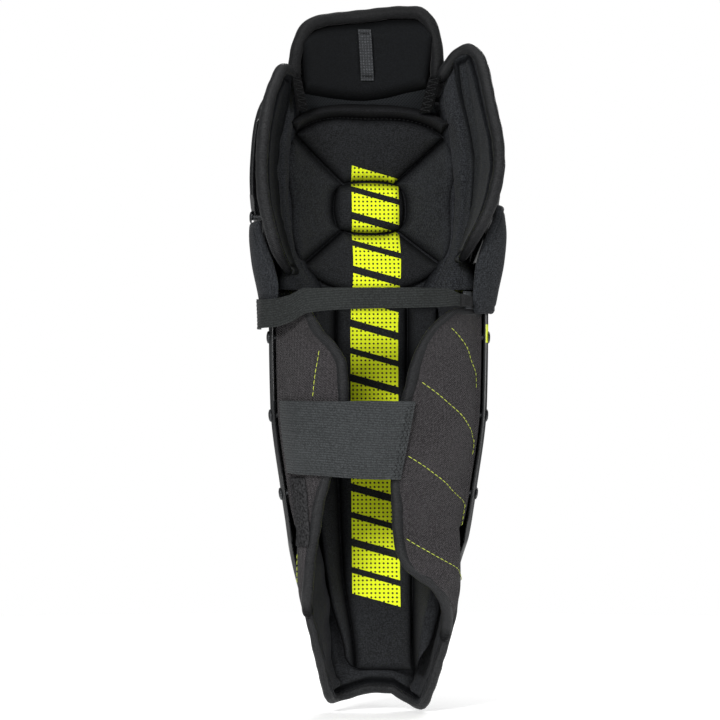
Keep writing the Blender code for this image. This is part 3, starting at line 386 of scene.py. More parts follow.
def swell(thing, shape, pressure, cap, rim=2):
    """Blow up the front face of a pad as stuffed fabric, its back and its sewn rim held, then smooth it."""
    start = coordinates(thing.data)
    nu, nv = shape
    index = np.arange(nu * nv).reshape(nu, nv)
    inside = np.zeros((nu, nv), bool)
    inside[rim:-rim, rim:-rim] = True
    move_vertices(thing, start * SWELL_SCALE)
    hold = thing.vertex_groups.new(name="hold")
    hold.add(index[~inside].tolist() + list(range(nu * nv, 2 * nu * nv)), 1.0, "REPLACE")
    cloth = thing.modifiers.new("cloth", "CLOTH")
    for key, value in SWELL_CLOTH.items():
        setattr(cloth.settings, key, value)
    cloth.settings.uniform_pressure_force = pressure
    cloth.settings.vertex_group_mass = "hold"
    cloth.settings.effector_weights.gravity = 0.0
    cloth.point_cache.frame_start = 1
    cloth.point_cache.frame_end = SWELL_FRAMES
    for frame_number in range(1, SWELL_FRAMES + 1):
        bpy.context.scene.frame_set(frame_number)
    blown = thing.evaluated_get(bpy.context.evaluated_depsgraph_get())
    end = coordinates(blown.data) / SWELL_SCALE
    thing.modifiers.remove(cloth)
    thing.vertex_groups.remove(hold)
    bpy.context.scene.frame_set(1)
    step = end - start
    size = np.linalg.norm(step, axis=1, keepdims=True)
    step *= cap * np.tanh(size / cap) / np.maximum(size, 1e-9)
    print("swell", thing.name, "moved up to", round(float(size.max()) * 1000, 2), "mm")
    move_vertices(thing, start + step)
    smoother = thing.modifiers.new("smooth", "SUBSURF")
    smoother.levels = smoother.render_levels = 1
    return thing


def place_piece(thing, body, finish, nodes=()):
    """Give a piece its finish and its body, and hide the CAD nodes it stands in for; a piece given a pair of
    bodies only has its transform baked in.
    """
    thing.data.materials.append(finish)
    if isinstance(body, str):
        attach(thing, body)
    else:
        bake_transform(thing)
    if nodes:
        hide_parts(*nodes)
    return thing


STITCH_SIDES, STITCH_RINGS = 6, 5
BACKWARDS = (0.0, -1.0, 0.0)


def interpolated(places, along, rows):
    """Rows read between their places along a path."""
    return np.stack([np.interp(places, along, column) for column in rows.T], axis=1)


def dashes(name, path, outwards, length, gap, radius):
    """Thread stitches along a path, each a small bead lying on the fabric and dipping in at its ends."""
    path = resample(path, 0.0005)
    along = lengths(path[:, None], 0)[:, 0]
    outwards = np.atleast_2d(np.asarray(outwards, float))
    outwards = interpolated(even(len(path)), even(len(outwards)), outwards)
    bulge = np.sin(np.pi * mix(0.12, 0.88, even(STITCH_RINGS)))[:, None]
    turn = circle(STITCH_SIDES)[None, :, None]
    points, faces = [], []
    start = gap / 2
    while start + length < along[-1]:
        places = start + length * even(STITCH_RINGS)
        centre = interpolated(places, along, path)
        up = unit(interpolated(places, along, outwards))
        across = np.cross(unit(np.gradient(centre, axis=0)), up)
        centre = centre + up * radius * (bulge - 0.75)
        faces += tube_faces(STITCH_RINGS, STITCH_SIDES, len(points) * STITCH_RINGS * STITCH_SIDES)
        points.append(centre[:, None] + (across[:, None] * np.cos(turn) + up[:, None] * np.sin(turn))
                      * (radius * (0.4 + 0.6 * bulge))[:, None])
        start += length + gap
    points = np.concatenate(points).reshape(-1, 3)
    return make_object(name, points, faces, np.zeros((len(points), 2)))


def stitches(name, body, finish, path, outwards, length, gap, radius):
    """A row of stitches as a piece of its own."""
    return place_piece(dashes(name, path, outwards, length, gap, radius), body, finish)


def outwards_of(points):
    """Unit vectors from the middle of the leg through points, level with the floor."""
    return unit(np.asarray(points, float) * (1.0, 1.0, 0.0))


# ---------------------------------------------------------------- materials

class Finish:
    """A material, with short ways to add and join its nodes."""

    def __init__(self, name):
        self.material = bpy.data.materials.new(name)
        self.material.use_nodes = True
        self.nodes = self.material.node_tree.nodes
        self.shader = self.nodes["Principled BSDF"]

    def put(self, socket, value):
        """Join or set a socket."""
        if isinstance(value, bpy.types.NodeSocket):
            self.material.node_tree.links.new(value, socket)
        elif isinstance(value, tuple) and len(value) == 3 and socket.type == "RGBA":
            socket.default_value = (*value, 1.0)
        else:
            socket.default_value = value

    def node(self, kind, inputs=None, **settings):
        """New shader node."""
        node = self.nodes.new("ShaderNode" + kind)
        for key, value in settings.items():
            setattr(node, key, value)
        for key, value in (inputs or {}).items():
            self.put(node.inputs[key], value)
        return node

    def math(self, operation, *values):
        """Result of a sum on numbers or sockets."""
        return self.node("Math", dict(enumerate(values)), operation=operation).outputs[0]

    def times(self, product, *others):
        """Product of numbers or sockets."""
        for value in others:
            product = self.math("MULTIPLY", product, value)
        return product

    def within(self, value, low, high):
        """1 where a value lies between low and high, 0 elsewhere."""
        return self.times(self.math("GREATER_THAN", value, low), self.math("LESS_THAN", value, high))

    def dot_radius(self, pitch, *values):
        """Distance from the middle of the nearest cell of a square grid, in cells."""
        squares = []
        for value in values:
            place = self.math("FRACT", self.math("DIVIDE", value, pitch))
            squares.append(self.math("POWER", self.math("SUBTRACT", place, 0.5), 2.0))
        return self.math("SQRT", self.math("ADD", *squares))

    def noise(self, scale, detail=3.0, vector=None):
        """Noise from 0 to 1; scale is in blobs to the metre."""
        inputs = {"Scale": scale, "Detail": detail, "Vector": vector or self.place()}
        return self.node("TexNoise", inputs).outputs["Fac"]

    def place(self):
        """Place on the object at rest, in metres."""
        return self.node("TexCoord").outputs["Object"]

    def axes(self):
        """The x, y and z of the place on the object at rest, in metres."""
        return self.node("SeparateXYZ", {"Vector": self.place()}).outputs

    def cloth(self):
        """Distances along and across the cloth, in metres."""
        spot = self.node("UVMap", uv_map="cloth").outputs["UV"]
        return self.node("SeparateXYZ", {"Vector": spot}).outputs[:2]

    def ramp(self, value, low, high):
        """0 to 1 as a value goes from low to high."""
        return self.node("MapRange", {"Value": value, "From Min": low, "From Max": high}).outputs[0]

    def blend(self, share, first, second):
        """Colour a share of the way from first to second."""
        mixer = self.node("Mix", data_type="RGBA")
        self.put(mixer.inputs[0], share)
        self.put(mixer.inputs[6], first)
        self.put(mixer.inputs[7], second)
        return mixer.outputs[2]

    def bump(self, height, distance, strength=1.0, under=None):
        """Bump from a height from 0 to 1."""
        node = self.node("Bump", {"Height": height, "Distance": distance, "Strength": strength})
        if under:
            self.put(node.inputs["Normal"], under)
        return node.outputs[0]

    def shade(self, **inputs):
        """Set the surface."""
        for key, value in inputs.items():
            self.put(self.shader.inputs[key.replace("_", " ")], value)
        return self.material


def scaled(colour, factor):
    """A colour made lighter or darker."""
    return tuple(channel * factor for channel in colour)


def wave(f, value, pitch, phase=0.0):
    """Sine from 0 to 1 along a value, with a pitch."""
    turns = f.math("MULTIPLY_ADD", value, 2 * math.pi / pitch, phase)
    return f.math("MULTIPLY_ADD", f.math("SINE", turns), 0.5, 0.5)


def weave_height(f, kind, pitch):
    """Height of a weave, from 0 to 1: rib, twill, knit or plain."""
    u, v = f.cloth()
    if kind == "rib":
        return f.math("POWER", wave(f, v, pitch), 0.6)
    if kind == "twill":
        ridges = wave(f, f.math("ADD", u, f.math("MULTIPLY", v, 1.6)), pitch)
        return f.math("MULTIPLY_ADD", ridges, 0.75, f.math("MULTIPLY", wave(f, v, pitch * 0.6), 0.25))
    if kind == "knit":
        rows = wave(f, v, pitch * 1.3)
        loops = wave(f, f.math("ADD", u, f.math("MULTIPLY", rows, 0.9 * pitch)), pitch)
        return f.math("MULTIPLY_ADD", loops, 0.6, f.math("MULTIPLY", rows, 0.4))
    return f.math("MULTIPLY", wave(f, u, pitch), wave(f, v, pitch))


FOLD_SHADE = 0.86            # share of the colour that the painted shade takes away in seams and creases
FOLD_DULL = 0.95             # share of the sheen and shine that the painted shade takes away there
WORN_SHARE = 0.22
YARN_MOTTLE, WORN_PATCHES = 950.0, 28.0      # blobs to the metre


def fabric(name, colour, weave, speck, rough, sheen, light=None, bright=False, gloss=0.16):
    """Woven or knitted cloth: yarns in relief with painted shade in their valleys, mottled yarn colour, worn
    soft patches, painted shade in seams and creases, and a low sheen.

    The weave is its kind, pitch and depth in metres; light is the colour of its palest yarns."""
    f = Finish(name)
    kind, pitch, depth = weave
    height = weave_height(f, kind, pitch)
    mottle, broad = f.noise(YARN_MOTTLE), f.noise(WORN_PATCHES)
    base = f.blend(f.ramp(mottle, 0.38, 0.64), scaled(colour, 1 - speck), light or scaled(colour, 1 + speck))
    # painted shade in the valleys of the weave
    base = f.blend(f.ramp(height, 0.0, 0.45), scaled(colour, 0.45), base)
    base = f.blend(f.math("MULTIPLY", f.ramp(broad, 0.45, 0.75), WORN_SHARE), base, scaled(colour, 1.5))
    if bright:
        base = printed(f, base)
    # painted shade from the vertex attribute: darker colour, less sheen and less shine in seams, creases and
    # covered places
    fold = f.node("Attribute", attribute_name="fold").outputs["Fac"]
    base = f.blend(f.math("MULTIPLY", fold, FOLD_SHADE), base, scaled(colour, 0.12))
    normal = f.bump(height, depth, 0.9, f.bump(mottle, 0.0005, 0.6))
    roughness = f.math("MULTIPLY_ADD", f.ramp(broad, 0.2, 0.9), 0.1, rough - 0.05)
    open_share = f.math("MULTIPLY_ADD", fold, -FOLD_DULL, 1.0)
    return f.shade(Base_Color=base, Roughness=roughness, Normal=normal,
                   Sheen_Weight=f.math("MULTIPLY", open_share, sheen), Sheen_Roughness=0.5,
                   Specular_IOR_Level=f.math("MULTIPLY", open_share, gloss))


PRINT_X = 0.002             # middle of the column on the shin
PRINT_KNEE_SHIFT = 0.0028    # how far its middle moves over between these heights
PRINT_SHIFT_Z = (0.3, 0.35)
PRINT_HALF_WIDTH = 0.0187
PRINT_Z = (0.086, 0.4222)
PRINT_SLOPE = 0.28
PRINT_CELL = 0.0428          # height of a pair of bars
PRINT_BARS = ((-0.01, 0.37), (0.48, 0.86))
PRINT_DOT_PITCH = 0.0033
PRINT_DOT = (0.19, 0.29)     # radius where a dot ends and where the ink is full, in cells
BRIGHT_INK = (0.86, 0.98, 0.02)


def printed(f, base):
    """Column of slanted bright bars up the middle of the pads, dotted like a screen print."""
    x, _, z = f.axes()
    middle = f.math("MULTIPLY_ADD", f.ramp(z, *PRINT_SHIFT_Z), PRINT_KNEE_SHIFT, PRINT_X)
    across = f.math("ABSOLUTE", f.math("SUBTRACT", x, middle))
    rise = f.math("MULTIPLY_ADD", x, PRINT_SLOPE, z)
    inside = f.times(f.math("LESS_THAN", across, PRINT_HALF_WIDTH), f.within(rise, *PRINT_Z))
    cell = f.math("FRACT", f.math("DIVIDE", f.math("SUBTRACT", rise, PRINT_Z[0]), PRINT_CELL))
    bars = f.math("MAXIMUM", *(f.within(cell, low, high) for low, high in PRINT_BARS))
    open_dot = f.ramp(f.dot_radius(PRINT_DOT_PITCH, x, z), *PRINT_DOT)
    worn = f.math("MULTIPLY_ADD", f.noise(900.0, 2.0), 0.16, 0.9)
    ink = f.node("HueSaturation", {"Color": BRIGHT_INK, "Value": worn}).outputs[0]
    return f.blend(f.times(inside, bars, open_dot), base, ink)


def moulded(name, colour, rough, accents=False):
    """Moulded plastic: fine grain, faint scuffs along raised places, and a clear top coat."""
    f = Finish(name)
    grain, cloudy = f.noise(2600.0, 2.0), f.noise(35.0, 4.0)
    stretched = f.node("Mapping", {"Vector": f.place(), "Scale": (1.0, 1.0, 0.12)}).outputs[0]
    scuffs = f.noise(160.0, 6.0, stretched)
    edge = f.node("NewGeometry").outputs["Pointiness"]
    wear = f.math("MULTIPLY", f.ramp(edge, 0.52, 0.6), f.ramp(scuffs, 0.45, 0.7))
    base = f.blend(f.ramp(cloudy, 0.3, 0.7), scaled(colour, 0.85), scaled(colour, 1.2))
    if accents:
        base = shell_graphics(f, base, colour)
    base = f.blend(f.math("MULTIPLY", wear, 0.5), base, scaled(colour, 3.0))
    roughness = f.math("MULTIPLY_ADD", scuffs, 0.22, rough - 0.08)
    return f.shade(Base_Color=base, Roughness=roughness, Normal=f.bump(grain, 0.00006, 0.5),
                   Coat_Weight=0.35, Coat_Roughness=0.12, Specular_IOR_Level=0.5)


SHELL_BAND_TOP = 0.33
SHELL_BAND_LEAN = 0.35       # how far the bands move out for each metre up
SHELL_BAND, SHELL_LINE = (0.042, 0.056), (0.0585, 0.0615)    # edges of each, by its lean
SHELL_FRONT_Y = 0.022
FLASH_X, FLASH_Y, FLASH_Z = 0.078, 0.004, (0.286, 0.3)


def shell_graphics(f, base, colour):
    """Plain bands of lighter and bright colour down the shell's front, and a flash at its outer side."""
    x, y, z = f.axes()
    lean = f.math("MULTIPLY_ADD", z, SHELL_BAND_LEAN, f.math("MULTIPLY", f.math("ABSOLUTE", x), -1.0))
    front = f.times(f.math("GREATER_THAN", y, SHELL_FRONT_Y), f.math("LESS_THAN", z, SHELL_BAND_TOP))
    for edges, paint in ((SHELL_BAND, scaled(colour, 6.5)), (SHELL_LINE, scaled(BRIGHT_INK, 0.8))):
        base = f.blend(f.times(f.within(lean, *edges), front), base, paint)
    beside = f.times(f.math("GREATER_THAN", x, FLASH_X), f.math("LESS_THAN", y, FLASH_Y))
    return f.blend(f.times(f.within(z, *FLASH_Z), beside), base, scaled(BRIGHT_INK, 0.7))


def steel(name):
    """Blackened steel, turned bright where it is handled."""
    f = Finish(name)
    scratches = f.noise(900.0, 5.0)
    tone = f.blend(f.ramp(scratches, 0.42, 0.72), (0.02, 0.021, 0.022), (0.1, 0.105, 0.11))
    roughness = f.math("MULTIPLY_ADD", scratches, 0.25, 0.3)
    return f.shade(Base_Color=tone, Metallic=0.8, Roughness=roughness, Normal=f.bump(scratches, 0.00005, 0.5))


def foam_cells(name, colour):
    """Closed-cell foam: pores with painted shade in their hollows, and a dull skin."""
    f = Finish(name)
    cells = f.node("TexVoronoi", {"Vector": f.place(), "Scale": 900.0}).outputs["Distance"]
    # painted shade in the pores
    tone = f.blend(f.ramp(cells, 0.0, 0.5), scaled(colour, 0.6), scaled(colour, 1.2))
    return f.shade(Base_Color=tone, Roughness=0.95, Normal=f.bump(cells, 0.0004, 0.8))


def napped(name, colour, size):
    """Hook or loop pile: short tangled fibres, size to the metre."""
    f = Finish(name)
    fibres = f.noise(size, 8.0)
    tufts = f.node("TexVoronoi", {"Vector": f.place(), "Scale": size * 0.6}).outputs["Distance"]
    tone = f.blend(f.ramp(fibres, 0.35, 0.65), scaled(colour, 0.35), scaled(colour, 1.7))
    height = f.math("ADD", f.math("MULTIPLY", fibres, 0.7), f.math("MULTIPLY", tufts, 0.5))
    normal = f.bump(height, 0.001, 0.9)
    return f.shade(Base_Color=tone, Roughness=0.97, Normal=normal, Specular_IOR_Level=0.05)


MESH_PITCH = 0.0026


def netting(name, colour):
    """Knitted mesh: eyelets in a staggered grid, painted near black as the shade seen through them."""
    f = Finish(name)
    u, v = f.cloth()
    reach = f.dot_radius(MESH_PITCH, f.math("ADD", u, v), f.math("SUBTRACT", u, v))
    cord = f.ramp(reach, 0.22, 0.36)
    yarn = f.blend(f.noise(1500.0), scaled(colour, 0.8), scaled(colour, 1.3))
    # painted shade in the eyelets
    tone = f.blend(cord, scaled(colour, 0.15), yarn)
    return f.shade(Base_Color=tone, Roughness=0.85, Normal=f.bump(cord, 0.0005, 0.9), Specular_IOR_Level=0.15)


FINE_KNIT = ("knit", 0.0012, 0.00014)
ELASTIC_RIB = ("rib", 0.0019, 0.0003)
THREAD = ("plain", 0.0008, 0.0001), 0.3, 0.7, 0.03      # weave, speck, roughness and sheen

PAD_CLOTH = fabric("brushed_knit", (0.0205, 0.0221, 0.0246), FINE_KNIT, 0.62, 0.88, 0.066)
PRINT_CLOTH = fabric("printed_knit", (0.013, 0.014, 0.0156), FINE_KNIT, 0.62, 0.88, 0.066, bright=True)
PANEL_CLOTH = fabric("panel_knit", (0.0045, 0.0052, 0.0062), FINE_KNIT, 0.42, 0.88, 0.036)
ROLL_CLOTH = fabric("roll_knit", (0.01, 0.0105, 0.0118), FINE_KNIT, 0.42, 0.86, 0.06)
UPPER_STRAP_CLOTH = fabric("narrow_elastic_web", (0.02, 0.0222, 0.0218), ELASTIC_RIB, 0.45, 0.8, 0.03)
DARK_BINDING_CLOTH = fabric("dark_binding_tape", (0.0075, 0.0078, 0.0084), ("rib", 0.0012, 0.00016),
                            0.45, 0.56, 0.06, gloss=0.14)
LINER_CLOTH = fabric("liner_knit", (0.0148, 0.0158, 0.0178), ("knit", 0.0012, 0.00016), 0.58, 0.9, 0.036)
WING_CLOTH = fabric("wing_knit", (0.0225, 0.0243, 0.0272), FINE_KNIT, 0.62, 0.88, 0.045, gloss=0.07)
SKIRT_CLOTH = fabric("crease_knit", (0.03, 0.032, 0.0362), FINE_KNIT, 0.62, 0.9, 0.036, gloss=0.07)
CALF_CLOTH = fabric("calf_knit", (0.038, 0.035, 0.0368), ("twill", 0.0031, 0.00105), 0.52, 0.92, 0.045,
                    light=(0.066, 0.061, 0.064))
BINDING_CLOTH = fabric("binding_tape", (0.0104, 0.0109, 0.012), ("rib", 0.0012, 0.0003), 0.6, 0.5, 0.03,
                       gloss=0.22)
STRAP_CLOTH = fabric("elastic_web", (0.034, 0.037, 0.0385), ELASTIC_RIB, 0.45, 0.8, 0.06)
TAPE_CLOTH = fabric("elastic_tape", (0.0042, 0.0044, 0.0048), ("twill", 0.003, 0.0004), 0.7, 0.8, 0.03,
                    gloss=0.05)
WEB_CLOTH = fabric("grey_webbing", (0.05, 0.053, 0.057), ("plain", 0.0022, 0.0003), 0.45, 0.75, 0.045)
THREAD_DARK = fabric("dark_thread", (0.012, 0.0125, 0.0135), *THREAD)
THREAD_GREY = fabric("grey_thread", (0.021, 0.022, 0.0235), *THREAD)
THREAD_BRIGHT = fabric("bright_thread", (0.5, 0.58, 0.085), *THREAD)
GUSSET_CLOTH = netting("gusset_mesh", (0.015, 0.017, 0.019))
SHELL_GRAPHIC = moulded("shell_plastic_graphic", (0.0085, 0.0092, 0.0098), 0.26, accents=True)
SHELL_PLASTIC = moulded("shell_plastic_gloss", (0.008, 0.0086, 0.0092), 0.24)
ARM_PLASTIC = moulded("arm_plastic", (0.02, 0.0205, 0.021), 0.38)
RIVET_STEEL = steel("rivet_steel_dark")
IMPACT_FOAM = foam_cells("impact_foam_cells", (0.045, 0.047, 0.05))
LOOP_PILE = napped("loop_pile", (0.024, 0.024, 0.025), 620.0)
HOOK_PILE = napped("hook_pile", (0.012, 0.012, 0.013), 1500.0)

for node_name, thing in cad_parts.items():
    if "rivet" in node_name or "pivot" in node_name:
        finish = RIVET_STEEL
    elif "hook" in node_name:
        finish = HOOK_PILE
    else:
        finish = ARM_PLASTIC
    for holder in thing.material_slots:
        holder.material = finish

# ---------------------------------------------------------------- shin shell and foam

SHELL_WALL = 0.003
RIM_ROUNDING = 0.0014
SHELL_RIM_ANGLE = 96.0
SHELL_FOOT = ((0, 0.05), (30, 0.042), (50, 0.045), (58, 0.055), (68, 0.075), (76, 0.1),
              (82, 0.118), (92, 0.135), (96, 0.15))
SHELL_HEAD = ((0, 0.346), (60, 0.346), (70, 0.348), (96, 0.352))


VENT_FEET = (0.128, 0.158, 0.188, 0.218, 0.248)
VENT_HEIGHT = 0.011
VENT_DEPTH = 0.002


def ridge(value, centre, half):
    """Smooth ridge from 0 to 1 and back, half wide each side of its centre."""
    return smoothstep(half, 0.0, np.abs(np.asarray(value, float) - centre))


def plateau(value, low, high, slope):
    """1 between low and high, sloping to 0 outside."""
    return smoothstep(low - slope, low, value) * (1 - smoothstep(high, high + slope, value))


def shell_relief(angle, height):
    """How far the shell's moulded ribs and vents stand out from its skin."""
    side = np.abs(angle)
    spine = 0.003 * plateau(side, 0, 9, 5) * plateau(height, 0.075, 0.316, 0.02)
    groove = -0.0011 * ridge(side, 17, 3.2) * plateau(height, 0.08, 0.318, 0.015)
    flank = 0.0018 * plateau(side, 27, 44, 4) * plateau(height + side * 0.0006, 0.115, 0.33, 0.014)
    flank -= 0.0012 * ridge(side, 58, 3.0) * plateau(height, 0.11, 0.325, 0.015)
    lean = height - 0.0004 * side
    vents = sum(plateau(lean, low, low + VENT_HEIGHT, 0.003) for low in VENT_FEET)
    return spine + groove + flank - VENT_DEPTH * plateau(side, 30, 41, 2.0) * vents


def rim_bead(distance):
    """Rolled bead along a moulded edge."""
    return 0.0009 * ridge(distance, 0.0022, 0.0024) - 0.0012 * (1 - rounded(distance, RIM_ROUNDING))


def moulding(name, form, rim_angle, lines, counts, relief):
    """Moulded skin on a form between its foot and head lines, with relief inside a rolled rim."""
    u, v = grid(*counts, 0.5, 0.5)
    angle = mix(-rim_angle, rim_angle, u)
    height = mix(*(line(np.abs(angle)) for line in lines), v)
    edge = edge_distance(ring(form, angle, height, 0.0))
    raised = relief(angle, height) * smoothstep(0.004, 0.012, edge) + rim_bead(edge)
    inner = ring(form, angle, height, SHELL_WALL - 0.001 * (1 - rounded(edge, RIM_ROUNDING)))
    return closed(name, ring(form, angle, height, -raised), inner)


def build_shell():
    """The shin shell, with its spine, flank panels, vents and rolled rim."""
    lines = (lambda side: smooth(SHELL_FOOT, side)), (lambda side: straight(SHELL_HEAD, side))
    shell = moulding("shin_shell_moulding", SHIN_FORM, SHELL_RIM_ANGLE, lines, (181, 141), shell_relief)
    place_piece(shell, "shin", SHELL_GRAPHIC, ("shin_shell",))
    line_inside(shell, SHELL_PLASTIC)


def straight(table, place):
    """Straight runs between (place, height) rows."""
    table = np.asarray(table, float)
    return np.interp(place, table[:, 0], table[:, 1])


FOAM_FOOT = ((0, 0.064), (30, 0.056), (50, 0.062), (60, 0.085), (68, 0.15), (84, 0.164))
LINING_TOP = 0.318           # top of the shin's foam and liner


FOAM_INSET = 0.0039


def build_foams():
    """Impact foam inside the shell and inside the knee cup."""
    def shin_place(u, v, inset):
        """Places on the foam inside the shell."""
        angle = mix(-84.0, 84.0, u)
        return ring(SHIN_FORM, angle, mix(smooth(FOAM_FOOT, np.abs(angle)), LINING_TOP, v), inset)

    def knee_place(u, v, inset):
        """Places on the foam inside the cup."""
        return ring(CUP_FORM, mix(-56.0, 56.0, u), mix(0.356, 0.468, v), inset)
    for name, place, counts, height, radius in (("shin", shin_place, (81, 41), 0.0035, 0.003),
                                                ("knee", knee_place, (61, 31), 0.0051, 0.004)):
        foam = pad(name + "_foam_sheet", place, counts, FOAM_INSET, height, radius, thin=0.001)
        place_piece(foam, name, IMPACT_FOAM, (name + "_impact_foam",))


# ---------------------------------------------------------------- shin liner

LINER_WALL = 0.004
LINER_R = 0.058              # rough radius, to space the binding's points evenly
LINER_BINDING_TOP = 0.2935
LINER_FLARE = ((0.06, 0.008), (0.075, 0.009), (0.09, 0.009), (0.118, 0.006), (0.135, 0.003), (0.15, 0.0))
LINER_ANKLE_FLARE = ((0.0, 0.012), (0.018, 0.01), (0.034, 0.0072), (0.05, 0.006), (0.066, 0.004))
LINER_FOOT_RIGHT = ((0, 0.0165), (24, 0.016), (34, 0.0125), (44, 0.0083), (54, 0.005), (62, 0.0042),
                    (70, 0.008), (78, 0.018), (85, 0.031), (90, 0.045), (95, 0.06), (98, 0.076))
LINER_FOOT_LEFT = ((0, 0.0165), (22, 0.0145), (36, 0.0118), (50, 0.0098), (60, 0.0096), (68, 0.012),
                   (76, 0.019), (84, 0.032), (90, 0.045), (95, 0.06), (98, 0.076))


def liner_inset(degrees, height):
    """Inset of the liner's outer face, which flares past the shell's rim and round the ankle."""
    side = np.abs(degrees)
    flare = smooth(LINER_FLARE, height) * smoothstep(62.0, 98.0, side)
    ankle = smooth(LINER_ANKLE_FLARE, height) * smoothstep(18.0, 52.0, side)
    ankle = ankle * (1 - smoothstep(0.06, 0.09, height))
    outer_side = 0.003 * smoothstep(30.0, 70.0, degrees) * (1 - smoothstep(0.075, 0.11, height))
    return 0.0095 - np.maximum(flare, ankle) - outer_side


def liner_foot(degrees):
    """Height of the binding along the liner's foot."""
    right, left = smooth(LINER_FOOT_RIGHT, np.abs(degrees)), smooth(LINER_FOOT_LEFT, np.abs(degrees))
    return np.where(np.asarray(degrees) > 0, right, left)


def build_liner():
    """Liner with a soft bolster along each side low down, a recessed arch at its foot with painted shade
    along it and in the side grooves, and its binding.
    """
    u, v = np.meshgrid(even(145), even(121) ** 1.25, indexing="ij")
    angle = mix(-97.0, 97.0, u)
    side = np.abs(angle)
    height = mix(liner_foot(angle) + 0.0012, LINING_TOP, v)
    above = height - liner_foot(angle)
    inset = liner_inset(angle, height)
    near_front, near_side = 1 - smoothstep(50, 66, side), smoothstep(46, 56, side)
    low_down = 1 - smoothstep(0.13, 0.2, height)
    bolster = 0.003 * plateau(side, 54, 84, 12) * (1 - smoothstep(0.11, 0.19, height))
    bolster = bolster - 0.0016 * ridge(side, 47, 7) * low_down
    lip = (0.0034 * plateau(above, 0.011, 0.0135, 0.0035) - 0.002 * ridge(above, 0.0062, 0.004)) * near_front
    folds = 0.0007 * np.sin(height * 210 + side * 0.05) * plateau(side, 50, 90, 10) * (height < 0.3)
    groove = 0.0012 * ridge(above, 0.006, 0.0022) * near_side
    inner = ring(SHIN_FORM, angle, height, inset + LINER_WALL + bolster + lip + folds - groove)
    liner = closed("shin_liner_fabric", ring(SHIN_FORM, angle, height, inset), inner)
    # painted shade in the recess above the binding, in the groove along the foot at the sides and in the
    # groove beside each bolster
    dark = ridge(above, 0.006, 0.005) * near_front + 0.7 * ridge(above, 0.006, 0.0026) * near_side
    mark_painted_shade(liner, np.maximum(dark, 0.7 * ridge(side, 47, 6) * low_down))
    place_piece(liner, "shin", LINER_CLOTH, ("shin_liner_backing",))

    angles = np.linspace(-98, 98, 197)
    line = np.stack((angles, liner_foot(angles)), axis=1)
    line = np.concatenate(([(-98.0, LINER_BINDING_TOP)], line, [(98.0, LINER_BINDING_TOP)]))
    arc, heights = resample(line * (np.pi / 180 * LINER_R, 1.0), BINDING_STEP).T
    angles = np.degrees(arc / LINER_R)
    path = ring(SHIN_FORM, angles, heights, liner_inset(angles, heights) + 0.0029)
    binding = roll("shin_liner_edge", path, 0.0036, ((0.035, 420, 0), (0.03, 151, 1)))
    place_piece(binding, "shin", BINDING_CLOTH, ("shin_liner_binding",))


# ---------------------------------------------------------------- shin pads

SEAM = 0.0016
SHIN_PAD_TOP = 0.3145
PAD_PRESSURE = 3.0
CENTRE_PAD_LEFT = ((0.034, -0.015), (0.11, -0.024), (0.2, -0.027), (0.3, -0.028))
CENTRE_PAD_RIGHT = ((0.034, 0.029), (0.11, 0.03), (0.2, 0.027), (0.3, 0.028))
LEFT_PAD_SIDE = ((0.041, -0.024), (0.088, -0.036), (0.142, -0.043), (0.2, -0.047), (0.31, -0.05))
RIGHT_PAD_SIDE = ((0.038, 0.0325), (0.057, 0.0425), (0.095, 0.051), (0.142, 0.053), (0.2, 0.052),
                  (0.31, 0.051))


def build_shin_pads():
    """Three long stuffed pads down the shin, the outer two with a rounded foot."""
    outer = (17, 101), 0.0335, LINER_CLOTH
    pads = (
        ("centre", CENTRE_PAD_LEFT, CENTRE_PAD_RIGHT, lambda u: 0.0016 * np.abs(2 * u - 1) ** 5,
         (31, 121), 0.031, PRINT_CLOTH),
        ("left", LEFT_PAD_SIDE, CENTRE_PAD_LEFT, lambda u: 0.0085 * (1 - u) ** 2, *outer),
        ("right", CENTRE_PAD_RIGHT, RIGHT_PAD_SIDE, lambda u: 0.0085 * u ** 2, *outer),
    )
    for name, left, right, corner, counts, low, finish in pads:
        def place(u, v, inset, left=left, right=right, low=low, corner=corner):
            height = mix(low + corner(u), SHIN_PAD_TOP, v)
            x = mix(smooth(left, height) + SEAM / 2, smooth(right, height) - SEAM / 2, u)
            return front_point(SHIN_FORM, x, height, inset)
        cushion = pad("shin_cushion_" + name, place, counts, 0.0137, 0.0075, 0.0075, thin=0.0036)
        swell(cushion, counts, PAD_PRESSURE, 0.0016)
        place_piece(cushion, "shin", finish, ("shin_pad_" + name,))


# ---------------------------------------------------------------- side guards

GUARD_WALL = ((0.297, 0.003), (0.322, 0.005), (0.35, 0.008), (0.392, 0.008))
RIGHT_GUARD_EDGE = ((0.308, 0.072), (0.318, 0.0715), (0.342, 0.074), (0.357, 0.0785),
                    (0.369, 0.0835), (0.388, 0.0922))
LEFT_GUARD_EDGE = ((0.3, 0.08), (0.326, 0.08), (0.346, 0.0845), (0.363, 0.0912), (0.376, 0.0945))


SIDE_GUARDS = (("left", -1, LEFT_GUARD_EDGE, 0.379), ("right", 1, RIGHT_GUARD_EDGE, 0.392))    # last: top


